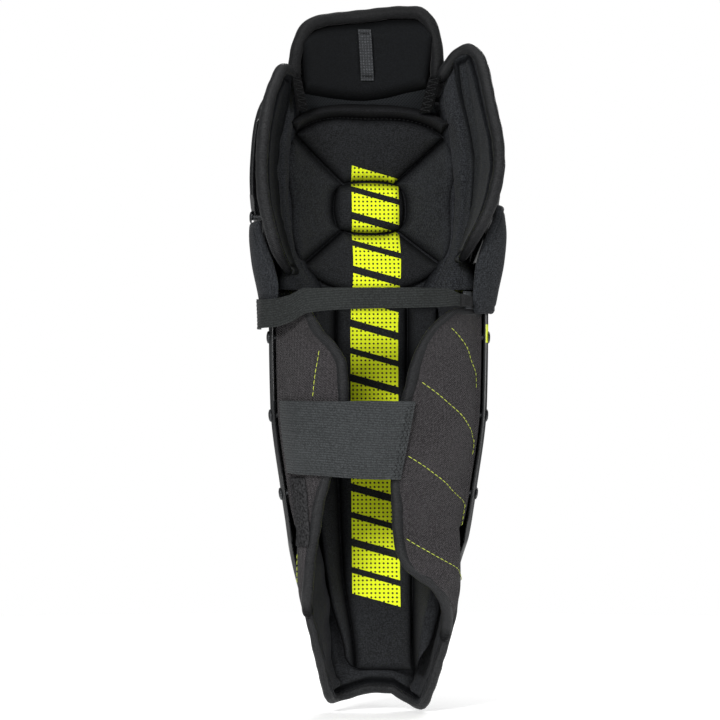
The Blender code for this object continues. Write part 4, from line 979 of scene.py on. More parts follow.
def build_side_guards():
    """Padded guard round each side of the knee joint, with a row of stitches inside its edge."""
    for name, side, edge, top in SIDE_GUARDS:
        def place(u, v, inset, side=side, edge=edge, top=top):
            height = mix(edge[0][0], top, v)
            share = (smooth(edge, height) / form_size(GUARD_FORM, height)[0]) ** (1 / ROUNDNESS)
            end = 180.0 - np.degrees(np.arcsin(share))
            return ring(GUARD_FORM, side * mix(84.0, end, u), height, inset)
        counts = (41, 45)
        u, v = grid(*counts)
        skin = place(u, v, 0.0)
        gap = edge_distance(skin)
        wall = smooth(GUARD_WALL, skin[..., 2]) * (1 - 0.4 * u * u)
        round_off = rounded(gap, 0.0035)
        sewn = 0.0009 * ridge(gap, 0.0052, 0.0016)
        outer = place(u, v, 0.5 * wall * (1 - round_off) + sewn)
        inner = place(u, v, wall * (0.5 + 0.5 * round_off) - sewn)
        guard = closed(name + "_guard_pad", outer, inner)
        swell(guard, counts, 1.5, 0.0008)
        place_piece(guard, "shin", WING_CLOTH, (name + "_side_guard",))
        t = np.linspace(0.05, 0.93, 40)
        line = place(0.86, t, smooth(GUARD_WALL, mix(edge[0][0], top, t)) * 0.7)
        stitches(name + "_guard_stitches", "shin", THREAD_DARK,
                 line, -outwards_of(line), 0.0024, 0.0012, 0.00032)


def build_strap_anchor():
    """Webbing tab that the upper strap is sewn to."""
    steps = ((89, 0.0), (96, 0.0004), (110, 0.0034), (124, 0.0036))
    u, v = grid(41, 13, 0.0, 0.0)
    angle = mix(89.0, 124.0, u)
    faces = (ring(SHIN_FORM, angle, mix(0.3115, 0.325, v), inset + smooth(steps, angle))
             for inset in (0.0048, 0.0072))
    place_piece(closed("upper_strap_tab", *faces), "shin", WEB_CLOTH, ("upper_strap_anchor",))


# ---------------------------------------------------------------- knee cup

CUP_RIM_ANGLE = 80.0
CUP_FOOT = ((0, 0.322), (42, 0.322), (52, 0.328), (60, 0.346), (70, 0.374), (77, 0.388), (80, 0.4))
CUP_HEAD = ((0, 0.484), (56, 0.484), (68, 0.478), (76, 0.468), (80, 0.458))


def cup_relief(angle, height):
    """How far the knee cup's crown and grooves stand out."""
    side = np.abs(angle)
    crown = 0.0032 * plateau(np.hypot(angle / 34, (height - 0.412) / 0.052), -1, 0.62, 0.38)
    brow = 0.0016 * plateau(height + side * 0.0002, 0.462, 0.478, 0.006) * (1 - smoothstep(48, 60, side))
    groove = -0.0012 * ridge(side + (height - 0.4) * 120, 50, 3.5) * plateau(height, 0.35, 0.468, 0.012)
    step = -0.0012 * ridge(height + 0.0003 * side, 0.35, 0.004) * (1 - smoothstep(36, 46, side))
    return crown + brow + groove + step


def build_knee_cup():
    """The knee cup's moulding."""
    lines = (lambda side: smooth(CUP_FOOT, side)), (lambda side: smooth(CUP_HEAD, side))
    cup = moulding("knee_cup_moulding", CUP_FORM, CUP_RIM_ANGLE, lines, (161, 81), cup_relief)
    place_piece(cup, "knee", SHELL_PLASTIC, ("knee_cup",))


# ---------------------------------------------------------------- knee liner and pads

KNEE_LINER_FOOT = ((0, 0.327), (40, 0.328), (72, 0.347))
KNEE_LINER_HEAD = ((0, 0.4775), (50, 0.474), (72, 0.467))
KNEE_PAD_RADIUS = ((0, 0.0695), (47, 0.079), (90, 0.063), (130, 0.071), (180, 0.067),
                   (230, 0.072), (270, 0.0645), (313, 0.0825), (360, 0.0695))
DISC_HALF = (0.0278, 0.02)
KNEE_PAD_BACK = 0.0046
PETAL_EDGE = 0.0024          # thickness of a petal at its seam
KNEE_ROLL_RADIUS = ((-47, 0.0925), (0, 0.0812), (47, 0.0895))


def knee_spot(bearing, radius, inset):
    """Point on the knee liner by bearing and radius from the kneecap."""
    angle = np.radians(bearing)
    return front_point(KNEE_FORM, radius * np.sin(angle), KNEE_CENTRE_Z + radius * np.cos(angle), inset)


def disc_radius(bearing):
    """Radius of the kneecap pad's outline."""
    angle = np.radians(bearing)
    return (np.abs(np.sin(angle) / DISC_HALF[0]) ** 3 + np.abs(np.cos(angle) / DISC_HALF[1]) ** 3) ** (-1 / 3)


def build_knee_liner():
    """Backing that carries the knee pads."""
    u, v = grid(121, 61, 0.0, 0.0)
    angle = mix(-72.0, 72.0, u)
    height = mix(smooth(KNEE_LINER_FOOT, np.abs(angle)), smooth(KNEE_LINER_HEAD, np.abs(angle)), v)
    round_off = rounded(edge_distance(ring(KNEE_FORM, angle, height, 0.0)), 0.002)
    faces = (ring(KNEE_FORM, angle, height, 0.002 + offset * 0.002) for offset in (-round_off, round_off))
    place_piece(closed("knee_liner_fabric", *faces), "knee", LINER_CLOTH,
                ("knee_liner_backing",))


def build_knee_pads():
    """Four stuffed petals round a kneecap cushion, and the roll over them."""
    def pleat(u, v, base):
        """A sewn pleat down the middle."""
        return -0.0012 * ridge(base[..., 0], -0.003, 0.0022)

    def add(name, place, counts, height, radius, thin, cap, finish, node, relief=None):
        """One swollen cushion on the knee liner."""
        cushion = pad(name, place, counts, KNEE_PAD_BACK, height, radius, relief, thin)
        swell(cushion, counts, PAD_PRESSURE, cap)
        place_piece(cushion, "knee", finish, (node,))

    petals = (("top", -47, 47, (57, 33), PRINT_CLOTH), ("right", 47, 130, (41, 31), PAD_CLOTH),
              ("bottom", 130, 230, (57, 33), PRINT_CLOTH), ("left", 230, 313, (41, 31), PAD_CLOTH))
    for name, start, end, counts, finish in petals:
        def place(u, v, inset, start=start, end=end):
            middle = mix(start, end, u)
            radius = mix(disc_radius(middle) + SEAM, smooth(KNEE_PAD_RADIUS, middle % 360), v)
            trim = np.degrees(SEAM / 2 / radius)
            return knee_spot(mix(start + trim, end - trim, u), radius, inset)
        add("knee_cushion_" + name, place, counts, 0.0104, 0.019, PETAL_EDGE, 0.0016, finish,
            "knee_pad_" + name, pleat if name == "top" else None)

    def disc_place(u, v, inset):
        """Places on the kneecap disc, a rounded rectangle."""
        x = (2 * u - 1) * DISC_HALF[0] * (1 - 0.13 * (2 * v - 1) ** 2)
        height = (2 * v - 1) * DISC_HALF[1] * (1 - 0.13 * (2 * u - 1) ** 2)
        return front_point(KNEE_FORM, x, KNEE_CENTRE_Z + height, inset)
    add("knee_cushion_centre", disc_place, (41, 33), 0.0096, 0.013, PETAL_EDGE, 0.0012, PRINT_CLOTH,
        "knee_pad_kneecap")

    def roll_place(u, v, inset):
        """Places on the roll over the top petal."""
        bearing = mix(-45.5, 44.0, u)
        inner = smooth(KNEE_PAD_RADIUS, bearing % 360) + SEAM / 2
        return knee_spot(bearing, mix(inner, smooth(KNEE_ROLL_RADIUS, bearing), v), inset)
    add("knee_bolster", roll_place, (97, 21), 0.0112, 0.0068, 0.003, 0.0012, ROLL_CLOTH,
        "knee_roll", pleat)
    bearing = np.linspace(-40, 40, 90)
    row = knee_spot(bearing, smooth(KNEE_PAD_RADIUS, bearing % 360) + 0.0004, 0.0098)
    stitches("knee_bolster_stitches", "knee", THREAD_DARK,
             row, BACKWARDS, 0.0018, 0.0016, 0.00034)


def smooth_sheet(name, points, wall):
    """Thin closed cloth from a grid of points at the middle of its thickness."""
    normal = unit(np.cross(np.gradient(points, axis=0), np.gradient(points, axis=1)))
    return closed(name, points + normal * wall / 2, points - normal * wall / 2)


# ---------------------------------------------------------------- thigh guard

THIGH_CENTRE_X = -0.005
THIGH_R = 0.085
THIGH_FRONT_Y = 0.0755
THIGH_FOOT_Z = 0.4815
THIGH_LEAN = 0.25
THIGH_LINE = (
    (-0.0606, 0.479), (-0.0622, 0.498), (-0.0606, 0.512), (-0.0562, 0.525), (-0.0488, 0.5338),
    (-0.035, 0.5384), (-0.005, 0.542), (0.02, 0.5446), (0.0345, 0.5438), (0.0434, 0.536),
    (0.048, 0.523), (0.05, 0.506), (0.049, 0.479),
)
THIGH_FOOT = ((-0.0588, 0.48), (-0.03, 0.4772), (-0.008, 0.4756), (0.01, 0.4776), (0.03, 0.482),
              (0.0478, 0.484))
THIGH_SPAN = (-0.0588, 0.0478)
THIGH_PLATE_FOOT = 0.482
THIGH_PAD_BACK = 0.0046
THIGH_JOINT = ("knee", "thigh_guard", (0.0, 0.064, 0.4715), (0.0, 0.064, 0.488))


def thigh_point(x, height, depth):
    """Points on the thigh guard's front surface, moved back by a depth."""
    front = THIGH_FRONT_Y - THIGH_LEAN * (height - THIGH_FOOT_Z)
    angle = np.arcsin((x - THIGH_CENTRE_X) / (THIGH_R - depth))
    return stack(x, front - THIGH_R + (THIGH_R - depth) * np.cos(angle), height)


THIGH_OUTLINE = resample(THIGH_LINE, 0.001)


def thigh_top(x):
    """Height of the thigh guard's outline above an x."""
    rising = THIGH_OUTLINE[THIGH_OUTLINE[:, 1] > 0.498]
    order = np.argsort(rising[:, 0])
    return np.interp(x, rising[order, 0], rising[order, 1])


TAB_Z = (0.4915, 0.531)
TAB_LEAN = 0.0032


def tab_lean(height):
    """How far the pull tab has leant over at a height."""
    return TAB_LEAN * ((height - TAB_Z[0]) / (TAB_Z[1] - TAB_Z[0]) - 0.5)


def build_thigh_guard():
    """Plate, backing and stuffed pad inside a rolled binding, with a webbing pull tab."""
    def place(u, v, depth, low=None):
        x = mix(*THIGH_SPAN, u)
        low = smooth(THIGH_FOOT, x) if low is None else low
        return thigh_point(x, mix(low, thigh_top(x) - 0.0012, v), depth)

    u, v = grid(61, 33, 0.0, 0.0)
    middle = plateau(np.abs(mix(*THIGH_SPAN, u) - THIGH_CENTRE_X), -1, 0.03, 0.006)
    relief = 0.0012 * middle * plateau(v, 0.2, 0.78, 0.1)
    faces = (place(u, v, depth, THIGH_PLATE_FOOT) for depth in (-relief, 0.0024))
    place_piece(closed("thigh_plate_moulding", *faces), "thigh_guard", SHELL_PLASTIC,
                ("thigh_plate",))
    backing = closed("thigh_backing_fabric", place(u, v, 0.0027), place(u, v, 0.0043))
    place_piece(backing, "thigh_guard", LINER_CLOTH, ("thigh_backing",))

    counts = (81, 49)
    u, v = grid(*counts)
    back = place(u, v, THIGH_PAD_BACK)
    along, up = lengths(back, 0), lengths(back, 1)
    gap = np.minimum.reduce((along, along[-1:] - along, up[:, -1:] - up)) - 0.0036
    panel = 0.011 * pillow(np.clip(np.minimum(gap, up + 0.0004), 0, 1), 0.01)
    cushion = closed("thigh_cushion", back, place(u, v, THIGH_PAD_BACK + 0.0018 + panel))
    # painted shade along the pad's sewn edges and its foot
    mark_painted_shade(cushion, (1 - np.clip(np.minimum(gap, up) / 0.012, 0, 1)) ** 1.5)
    swell(cushion, counts, PAD_PRESSURE, 0.0015, rim=6)
    place_piece(cushion, "thigh_guard", PANEL_CLOTH, ("thigh_pad",))

    line = resample(THIGH_LINE, 0.002)
    path = thigh_point(*line.T, 0.0083)
    binding = roll("thigh_edge", path, 0.0051, ((0.03, 390, 0), (0.03, 133, 0)))
    place_piece(binding, "thigh_guard", DARK_BINDING_CLOTH, ("thigh_binding",))

    direction = unit(np.gradient(line, axis=0))
    inner = line + np.stack((direction[:, 1], -direction[:, 0]), axis=1) * 0.0062
    row = thigh_point(*inner[inner[:, 1] > 0.486].T, 0.0098)
    stitches("thigh_panel_stitches", "thigh_guard", THREAD_DARK,
             row, BACKWARDS, 0.0022, 0.0014, 0.00036)

    u, v = grid(15, 41)
    height = mix(*TAB_Z, v)
    x = mix(-0.01, 0.0, u) - tab_lean(height)
    depth = 0.0177 + 0.0016 * plateau(v, 0.14, 0.86, 0.08)
    tab = closed("thigh_pull_tab", thigh_point(x, height, depth), thigh_point(x, height, depth + 0.0015))
    place_piece(tab, "thigh_guard", WEB_CLOTH, ("thigh_webbing_tab",))
    across = np.linspace(-0.009, -0.001, 12)
    for ending, heights in (("", (0.4945, 0.4955)), ("_upper", (0.527, 0.528))):
        rows = np.concatenate([thigh_point(across - tab_lean(z), z, 0.0199) for z in heights])
        stitches("thigh_tab_stitches" + ending, "thigh_guard", THREAD_DARK,
                 rows, BACKWARDS, 0.0012, 0.0005, 0.0003)


TAPE_HALF = 0.0042
ZIGZAG_TURNS = 6.5
ZIGZAG_LIFT = 0.001          # from the middle of the tape out to its rear face


def build_thigh_joiners():
    """Mesh gusset and two elastic tapes between the knee liner and the thigh guard."""
    u, v = grid(81, 25, 0.0, 0.0)
    low = ring(KNEE_FORM, mix(-42.0, 38.0, u), 0.462, 0.0045)
    high = thigh_point(mix(-0.058, 0.047, u), 0.4845, 0.0095)
    level = mix(low, high, v[..., None])
    bowed = level + np.sin(np.pi * v)[..., None] * np.array((0.0, -0.0018, 0.0))
    gusset = smooth_sheet("thigh_gusset_mesh", bowed, 0.0008)
    place_piece(gusset, THIGH_JOINT, GUSSET_CLOTH, ("thigh_gusset",))
    flat = (float(lengths(bowed, 0)[-1].mean()), float(lengths(level, 1)[:, -1].mean()))

    for name, foot_x, top_x in (("left", -0.056, -0.062), ("right", 0.0415, 0.0478)):
        u, v = grid(11, 41)
        across = mix(-TAPE_HALF, TAPE_HALF, u)
        low = front_point(KNEE_FORM, foot_x + across, 0.4665, 0.0178)
        drape = mix(low, thigh_point(top_x + across * 0.9, 0.4935, 0.0145), v[..., None])
        drape[..., 1] -= 0.003 * np.sin(np.pi * v) + 0.0008
        tape = smooth_sheet("thigh_tape_" + name, drape, 0.0015)
        place_piece(tape, THIGH_JOINT, TAPE_CLOTH, ("thigh_elastic_" + name,))
        facing = unit(np.cross(np.gradient(drape, axis=1), np.gradient(drape, axis=0)))
        drape -= facing * np.sign(facing[..., 1:2]) * ZIGZAG_LIFT
        steps = np.linspace(0.04, 0.97, 90)
        columns = (0.5 + 0.36 * np.sin(steps * 2 * np.pi * ZIGZAG_TURNS)) * (len(drape) - 1)
        line = np.array([[np.interp(step, v[0], part) for part in drape[int(round(column))].T]
                         for step, column in zip(steps, columns)])
        stitches("thigh_tape_zigzag_" + name, THIGH_JOINT, THREAD_GREY,
                 line, BACKWARDS, 0.0026, 0.0004, 0.00048)


# ---------------------------------------------------------------- knee wings

RIGHT_WING = np.array((
    (0.348, 0.064, 0.02, 0.06, -0.034),
    (0.357, 0.0685, 0.022, 0.0655, -0.036),
    (0.365, 0.0715, 0.0235, 0.07, -0.036),
    (0.376, 0.0745, 0.0245, 0.0765, -0.036),
    (0.388, 0.077, 0.0252, 0.082, -0.035),
    (0.403, 0.0786, 0.0256, 0.0868, -0.033),
    (0.423, 0.079, 0.0258, 0.0905, -0.03),
    (0.44, 0.0772, 0.0258, 0.09, -0.026),
    (0.457, 0.0735, 0.0258, 0.0872, -0.021),
    (0.477, 0.0678, 0.0255, 0.084, -0.014),
    (0.494, 0.0642, 0.025, 0.0815, -0.006),
    (0.507, 0.0622, 0.024, 0.0785, 0.002),
    (0.5155, 0.0625, 0.0225, 0.0722, 0.01),
))
LEFT_WING = np.array((
    (0.338, 0.0625, 0.019, 0.07, -0.031),
    (0.348, 0.066, 0.021, 0.0765, -0.034),
    (0.357, 0.0693, 0.0225, 0.081, -0.036),
    (0.3765, 0.0745, 0.0245, 0.0865, -0.036),
    (0.396, 0.0776, 0.0258, 0.0905, -0.033),
    (0.419, 0.0788, 0.026, 0.0917, -0.029),
    (0.442, 0.0768, 0.026, 0.0903, -0.025),
    (0.457, 0.0735, 0.026, 0.088, -0.02),
    (0.475, 0.0692, 0.0255, 0.084, -0.01),
    (0.486, 0.0676, 0.025, 0.079, 0.0),
    (0.493, 0.0668, 0.024, 0.0763, 0.005),
    (0.498, 0.0662, 0.022, 0.0733, 0.01),
))
WING_TIPS = {
    "left": ((-0.0655, 0.029, 0.4945), (-0.065, 0.034, 0.487)),
    "right": ((0.059, 0.0275, 0.5035), (0.0545, 0.0315, 0.4975), (0.0515, 0.036, 0.49)),
}
WING_SHOULDER = {"left": 0.0016, "right": 0.0066}     # fall of the top edge from the rear edge to the root
WING_SHADE = {"left": 1.5, "right": 0.34}             # how far over the wing the painted shade at its root reaches
WING_WALL = 0.009
WINGS = (("left", -1, LEFT_WING), ("right", 1, RIGHT_WING))


def wing_top(name, table, share):
    """Height of a wing's top edge at a share of the way from its root to its rear edge."""
    return table[-1][0] - WING_SHOULDER[name] * (1 - share) ** 1.3


def wing_ends(table, height):
    """Root and rear edge of a wing at some heights."""
    root_x, root_y, rear_x, rear_y = (smooth(table[:, (0, column)], height) for column in (1, 2, 3, 4))
    return stack(root_x, root_y, height), stack(rear_x, rear_y, height)


def wing_point(table, side, u, height, offset):
    """Points on a wing's middle surface, moved outwards by an offset."""
    root, rear = wing_ends(table, height)
    along = unit(rear - root)
    out = stack(-along[..., 1], along[..., 0], 0.0)
    u = np.asarray(u, float)
    spot = mix(root, rear, u[..., None]) + out * (0.0015 * 4 * u * (1 - u) + offset)[..., None]
    return spot * (side, 1.0, 1.0)


def build_wings():
    """Padded wing at each side of the knee, its rolled binding and a stitched crease, with painted shade in
    its grooves and from its root.
    """
    for name, side, table in WINGS:
        counts = (51, 81)
        u, v = grid(*counts, 0.5, 0.4)
        height = mix(table[0][0], wing_top(name, table, u) - 0.0015, v)
        gap = edge_distance(wing_point(table, side, u, height, 0.0))
        half = WING_WALL / 2 * (0.3 + 0.7 * rounded(gap, 0.007))
        wander = u + 0.1 * np.sin(v * 5)
        crease = 0.0006 * ridge(wander, 0.4, 0.16) + 0.002 * ridge(gap, 0.007, 0.003)
        outer = wing_point(table, side, u, height, half)
        inner = wing_point(table, side, u, height, -half + crease)
        wing = closed(name + "_wing_cushion", inner, outer)
        # painted shade in the sewn groove inside the edge and along the stitched crease, and over the wing
        # from its root
        painted_edge_shade = np.maximum(ridge(gap, 0.007, 0.0046) ** 0.7, 0.15 * ridge(wander, 0.4, 0.14))
        mark_painted_shade(wing, np.maximum(painted_edge_shade, 0.95 * (1 - np.clip(u / WING_SHADE[name], 0, 1)) ** 1.1))
        swell(wing, counts, 1.2, 0.001, rim=3)
        place_piece(wing, name + "_wing", WING_CLOTH, (name + "_wing_pad",))

        heights = np.linspace(table[0][0], table[-1][0], 120)
        widths = np.linalg.norm(np.subtract(*wing_ends(table, heights)), axis=1)
        brow = [(widths[-1] * share, wing_top(name, table, share)) for share in (0.66, 0.33, 0.0)]
        reach, heights = resample(np.concatenate((np.stack((widths, heights), axis=1), brow)), BINDING_STEP).T
        share = reach / np.linalg.norm(np.subtract(*wing_ends(table, heights)), axis=1)
        path = wing_point(table, side, share, heights, 0.0)
        path = eased(resample(np.concatenate((path[::3], WING_TIPS[name])), BINDING_STEP), 10)
        waves = (0.03, 410, 0), (0.03, 127, 0)
        binding = roll(name + "_wing_edge", path, 0.0047, waves, (0.034, 0.012), 0.4)
        place_piece(binding, name + "_wing", BINDING_CLOTH, (name + "_wing_binding",))


SKIRT_EDGE_LOW = ((0.327, 0.04), (0.345, 0.05), (0.358, 0.057))
SKIRT_EDGE = {
    "left": SKIRT_EDGE_LOW + ((0.375, 0.0605), (0.392, 0.0615), (0.41, 0.062), (0.43, 0.061), (0.448, 0.0605),
                              (0.462, 0.06), (0.475, 0.061), (0.51, 0.061)),
    "right": SKIRT_EDGE_LOW + ((0.375, 0.06), (0.392, 0.0605), (0.41, 0.0605), (0.43, 0.059), (0.448, 0.0575),
                               (0.462, 0.0555), (0.475, 0.0525), (0.51, 0.0515)),
}
SKIRT_FOOT = 0.327
SKIRT_TOP = {"left": (0.4925, 0.495), "right": (0.5005, 0.5075)}


def build_skirts():
    """Folded crease panel from each side of the knee pads to the root of the wing, with painted shade in its
    folds and towards both its edges.
    """
    for name, side, table in WINGS:
        u, v = grid(61, 91, 0.0, 0.0)
        height = mix(SKIRT_FOOT, mix(*SKIRT_TOP[name], u), v)
        edge_x = smooth(SKIRT_EDGE[name], height)
        start = front_point(KNEE_FORM, np.minimum(edge_x, 0.062), np.minimum(height, 0.462), 0.008)
        start[..., 0], start[..., 2] = edge_x, height
        start[..., 1] = mix(start[..., 1], 0.0455, smoothstep(0.45, 0.478, height))
        below = 1 - smoothstep(0.332, 0.368, height)
        end = wing_ends(table, height)[0] + (0.0004, -0.0005, 0.0)
        end = end + stack(0.0125 * below, -0.005 * below, 0.0)
        arch = np.sin(np.pi * u)
        drape = mix(start, end, u[..., None]) + arch[..., None] * np.array((0.001, 0.00045, 0.0))
        swing = 0.05 * np.sin(v * 6.0)
        folds = (0.0032 * ridge(u, 0.55, 0.5) - 0.0011 * ridge(u, 0.2 + swing, 0.08)
                 - 0.0008 * ridge(u, 0.72 - swing, 0.16) + 0.0005 * np.sin(height * 150 + u * 5) * arch)
        fade = np.sin(np.pi * mix(0.05, 0.97, v)) ** 0.5
        drape = drape + np.array((-0.8, -0.6, 0.0)) * (folds * fade)[..., None]
        skirt = smooth_sheet(name + "_crease_panel", drape * (side, 1.0, 1.0), 0.0014)
        # painted shade in the fold valleys and towards both edges, which run in under the pads and the wing
        painted_hollow_shade = np.maximum(0.55 * ridge(u, 0.2 + swing, 0.05), 0.28 * ridge(u, 0.72 - swing, 0.14)) * fade
        mark_painted_shade(skirt, np.maximum(painted_hollow_shade, 1 - np.minimum(u, 1 - u) / 0.2))
        span = (side * 0.064, 0.05, 0.42), (side * 0.073, 0.032, 0.42)
        place_piece(skirt, ("knee", name + "_wing", *span), SKIRT_CLOTH, ())


# ---------------------------------------------------------------- calf wraps

WRAP_WALL = 0.0055
WRAP_R = 0.066
WRAP_INSET = ((0.06, -0.001), (0.09, -0.0025), (0.118, 0.002), (0.15, 0.008), (0.312, 0.008))
RIGHT_WRAP_LINE = (
    (104, 0.3085), (124, 0.3085), (134, 0.3075), (141, 0.3035), (149.2, 0.2972), (155.8, 0.2888),
    (160.5, 0.2787), (164.3, 0.2664), (166.6, 0.2533), (169.0, 0.2418), (171.5, 0.2187), (173.4, 0.1994),
    (173.6, 0.1802), (172.1, 0.1578), (170.1, 0.1317), (165.7, 0.1186), (156.4, 0.1101), (142.7, 0.1016),
    (127.0, 0.0878), (115.0, 0.077), (107.0, 0.067), (103.0, 0.06),
)
LEFT_WRAP_LINE = (
    (104, 0.316), (114, 0.316), (120, 0.3145), (125.8, 0.3118), (130.8, 0.3068), (139.9, 0.2934),
    (151.6, 0.2804), (156.8, 0.2677), (157.6, 0.2449), (154.2, 0.2225), (147.8, 0.1994), (139.7, 0.1794),
    (132.8, 0.1648), (125.0, 0.1455), (119.1, 0.1232), (115.2, 0.1004), (108.0, 0.087), (103.0, 0.079),
)
WRAP_ROOT = ((0.055, 100.5), (0.12, 100.0), (0.15, 97.0), (0.166, 92.5), (0.32, 92.5))
WRAP_JOINT_Y = (-0.009, -0.017)
WRAPS = (("left", -1, LEFT_WRAP_LINE), ("right", 1, RIGHT_WRAP_LINE))


def wrap_place(degrees, height, depth):
    """Points on a calf wrap, whose root slips in under the shell's rim."""
    free = smooth(WRAP_INSET, height)
    under = np.where(np.asarray(height) > 0.145, 0.0046, free)
    share = smoothstep(96.0, 104.0, np.abs(degrees))
    return ring(SHIN_FORM, degrees, height, mix(under, free, share) + depth)


def wrap_joint(name, side):
    """The two bodies that a wrap bends between, and where."""
    start, end = WRAP_JOINT_Y
    return ("shin", name + "_wrap", (side * 0.075, start, 0.3), (side * 0.075, end, 0.3))


def wrap_reach(line, height):
    """Angle of a wrap's free edge at some heights, read from its line."""
    fine = resample(np.array([(math.radians(a) * WRAP_R, z) for a, z in line]), 0.0008)
    heights = np.linspace(fine[:, 1].min(), fine[:, 1].max(), 400)
    far = [fine[np.abs(fine[:, 1] - z) < 0.0016, 0].max() for z in heights]
    return np.degrees(np.interp(height, heights, far) / WRAP_R)


def wrap_buckle(degrees, height):
    """How far a wrap's soft cloth wanders in and out."""
    turn, height = np.radians(np.abs(degrees)), np.asarray(height)
    swing = 0.0011 * np.sin(height * 62 + turn * 1.7) + 0.0004 * np.sin(height * 150 + turn * 9)
    return swing * smoothstep(104, 116, np.abs(degrees))


def build_wraps():
    """Knitted calf wraps of thin laminated foam, with soft buckles and bindings."""
    for name, side, line in WRAPS:
        u, v = grid(91, 151, 0.3, 0.2)
        height = mix(line[-1][1] + 0.0006, line[0][1] - 0.0004, v)
        angle = mix(smooth(WRAP_ROOT, height), wrap_reach(line, height) - 0.6, u)
        buckle = wrap_buckle(angle, height)
        middle = wrap_place(side * angle, height, 0.003)
        puff = 0.001 * rounded(edge_distance(middle), 0.012) - 0.0006
        wall = WRAP_WALL * mix(0.6, 1.0, smoothstep(104, 116, angle))
        outer = wrap_place(side * angle, height, buckle - puff + wrap_tuck(name, side, side * angle, height))
        inner = wrap_place(side * angle, height, buckle + wall + puff * 0.5)
        nodes = (name + "_calf_wrap", name + "_wrap_anchor")
        wrap = closed(name + "_calf_wrap_knit", outer, inner)
        place_piece(wrap, wrap_joint(name, side), CALF_CLOTH, nodes)

        start, end = ((float(smooth(WRAP_ROOT, z)), z) for _, z in (line[0], line[-1]))
        line = np.concatenate(([start], line, [end])) * (np.pi / 180 * WRAP_R, 1.0)
        arc, heights = resample(line, BINDING_STEP).T
        path = wrap_place(np.degrees(arc / WRAP_R) * side, heights, WRAP_WALL / 2 + 0.0006)
        binding = roll(name + "_wrap_edge", path, 0.0043, ((0.03, 380, 0), (0.03, 117, 2)), (0.01, 0.012))
        place_piece(binding, wrap_joint(name, side), BINDING_CLOTH, (name + "_wrap_binding",))


SEWN_ROWS = {
    "right": (
        ((0.055, 0.297), (0.062, 0.291), (0.069, 0.281), (0.0735, 0.269), (0.0755, 0.258), (0.0755, 0.247)),
        ((0.0335, 0.256), (0.0505, 0.243), (0.0625, 0.231), (0.07, 0.22), (0.0738, 0.209), (0.074, 0.197)),
        ((0.022, 0.2), (0.039, 0.189), (0.055, 0.176), (0.0655, 0.164), (0.0697, 0.154), (0.0697, 0.145)),
        ((0.0215, 0.137), (0.04, 0.1255), (0.055, 0.1165), (0.0625, 0.11), (0.065, 0.102)),
    ),
    "left": (
        ((-0.0455, 0.28), (-0.0475, 0.268), (-0.0495, 0.255), (-0.0507, 0.243)),
        ((-0.064, 0.124), (-0.065, 0.112), (-0.064, 0.1)),
    ),
}
SEEN_LEAN = math.tan(math.radians(5.0))


def wrap_angle_at(side, x_seen, height):
    """Angle on a wrap's outer face of a place given by its height and its x as seen from behind."""
    degrees = side * np.linspace(100, 179, 320)
    spots = wrap_place(degrees, height, 0.0)
    seen = spots[:, 0] - SEEN_LEAN * spots[:, 1]
    order = np.argsort(seen)
    return float(np.interp(x_seen, seen[order], degrees[order]))


def wrap_tuck(name, side, degrees, height):
    """How deep the rows of stitches pull a wrap's outer face in."""
    pull = np.zeros_like(height)
    for row in SEWN_ROWS[name]:
        for x, z in resample(row, 0.0035):
            gap = np.hypot(np.radians(degrees - wrap_angle_at(side, x, z)) * WRAP_R, height - z)
            pull = np.maximum(pull, ridge(gap, 0.0, 0.0045))
    return 0.0006 * pull


def build_wrap_stitches():
    """Rows of bright thread across the wraps."""
    for name, side, _ in WRAPS:
        for number, row in enumerate(SEWN_ROWS[name], 1):
            spots = [(wrap_angle_at(side, x, z), z) for x, z in resample(row, 0.002)]
            line = np.array([wrap_place(angle, z, wrap_buckle(angle, z) - 0.0001) for angle, z in spots])
            stitches(f"{name}_wrap_stitches_{number}", wrap_joint(name, side), THREAD_BRIGHT,
                     line, outwards_of(line), 0.0034, 0.0011, 0.00036)


def build_loop_patch():
    """Fuzzy loop patch on the left wrap."""
    def place(u, v, inset):
        degrees, height = mix(-122.5, -101.0, u), mix(0.13, 0.183, v)
        return wrap_place(degrees, height, wrap_buckle(degrees, height) - 0.0004 - inset)
    patch = pad("strap_loop_pile", place, (31, 61), 0.0, 0.0022, 0.0018, thin=0.0008)
    place_piece(patch, "left_wrap", LOOP_PILE, ("strap_loop_patch",))


# ---------------------------------------------------------------- straps

LOWER_STRAP_INSET = ((160, 0.0034), (172, 0.0036), (200, 0.0038), (235, 0.0036), (258, 0.0044))
LOWER_STRAP_END = (172.5, 166.0)     # angles of the sewn end's lower and upper corner
LOWER_STRAP_Z = (0.1822, 0.2415)
STRAP_WALL = 0.0018
STRAP_RIB = 0.00016


def build_lower_strap():
    """Broad ribbed elastic, sewn to the right wrap, over the left wrap and in under the shell's rim."""
    u, v = grid(181, 41, 0.0, 0.3)
    angle = mix(mix(*LOWER_STRAP_END, v), 258.5, u)
    foot, top = LOWER_STRAP_Z
    height = mix(mix(foot, foot + 0.004, smoothstep(170, 256, angle)), top, v)
    height = height + 0.0005 * np.sin(angle * 0.11) * (v - 0.5)
    inset = smooth(LOWER_STRAP_INSET, angle) + 0.0009 * np.sin(v * 8.5) * plateau(angle, 184, 232, 12)
    rib = STRAP_RIB * np.sin(v * 2 * np.pi * 24)
    strap = closed("lower_elastic_strap", ring(SHIN_FORM, angle, height, inset - rib),
                   ring(SHIN_FORM, angle, height, inset + STRAP_WALL))
    place_piece(strap, "lower_strap", STRAP_CLOTH, ("lower_strap",))
    share = np.linspace(0.03, 0.97, 60)
    for number, shift in enumerate((1.6, 3.6), 1):
        degrees = mix(*LOWER_STRAP_END, share) + shift + 0.5 * np.sin(share * 75)
        row = ring(SHIN_FORM, degrees, mix(foot, top, share), smooth(LOWER_STRAP_INSET, degrees) - 0.0001)
        stitches(f"lower_strap_stitches_{number}", "lower_strap", THREAD_DARK,
                 row, outwards_of(row), 0.0022, 0.0009, 0.00034)


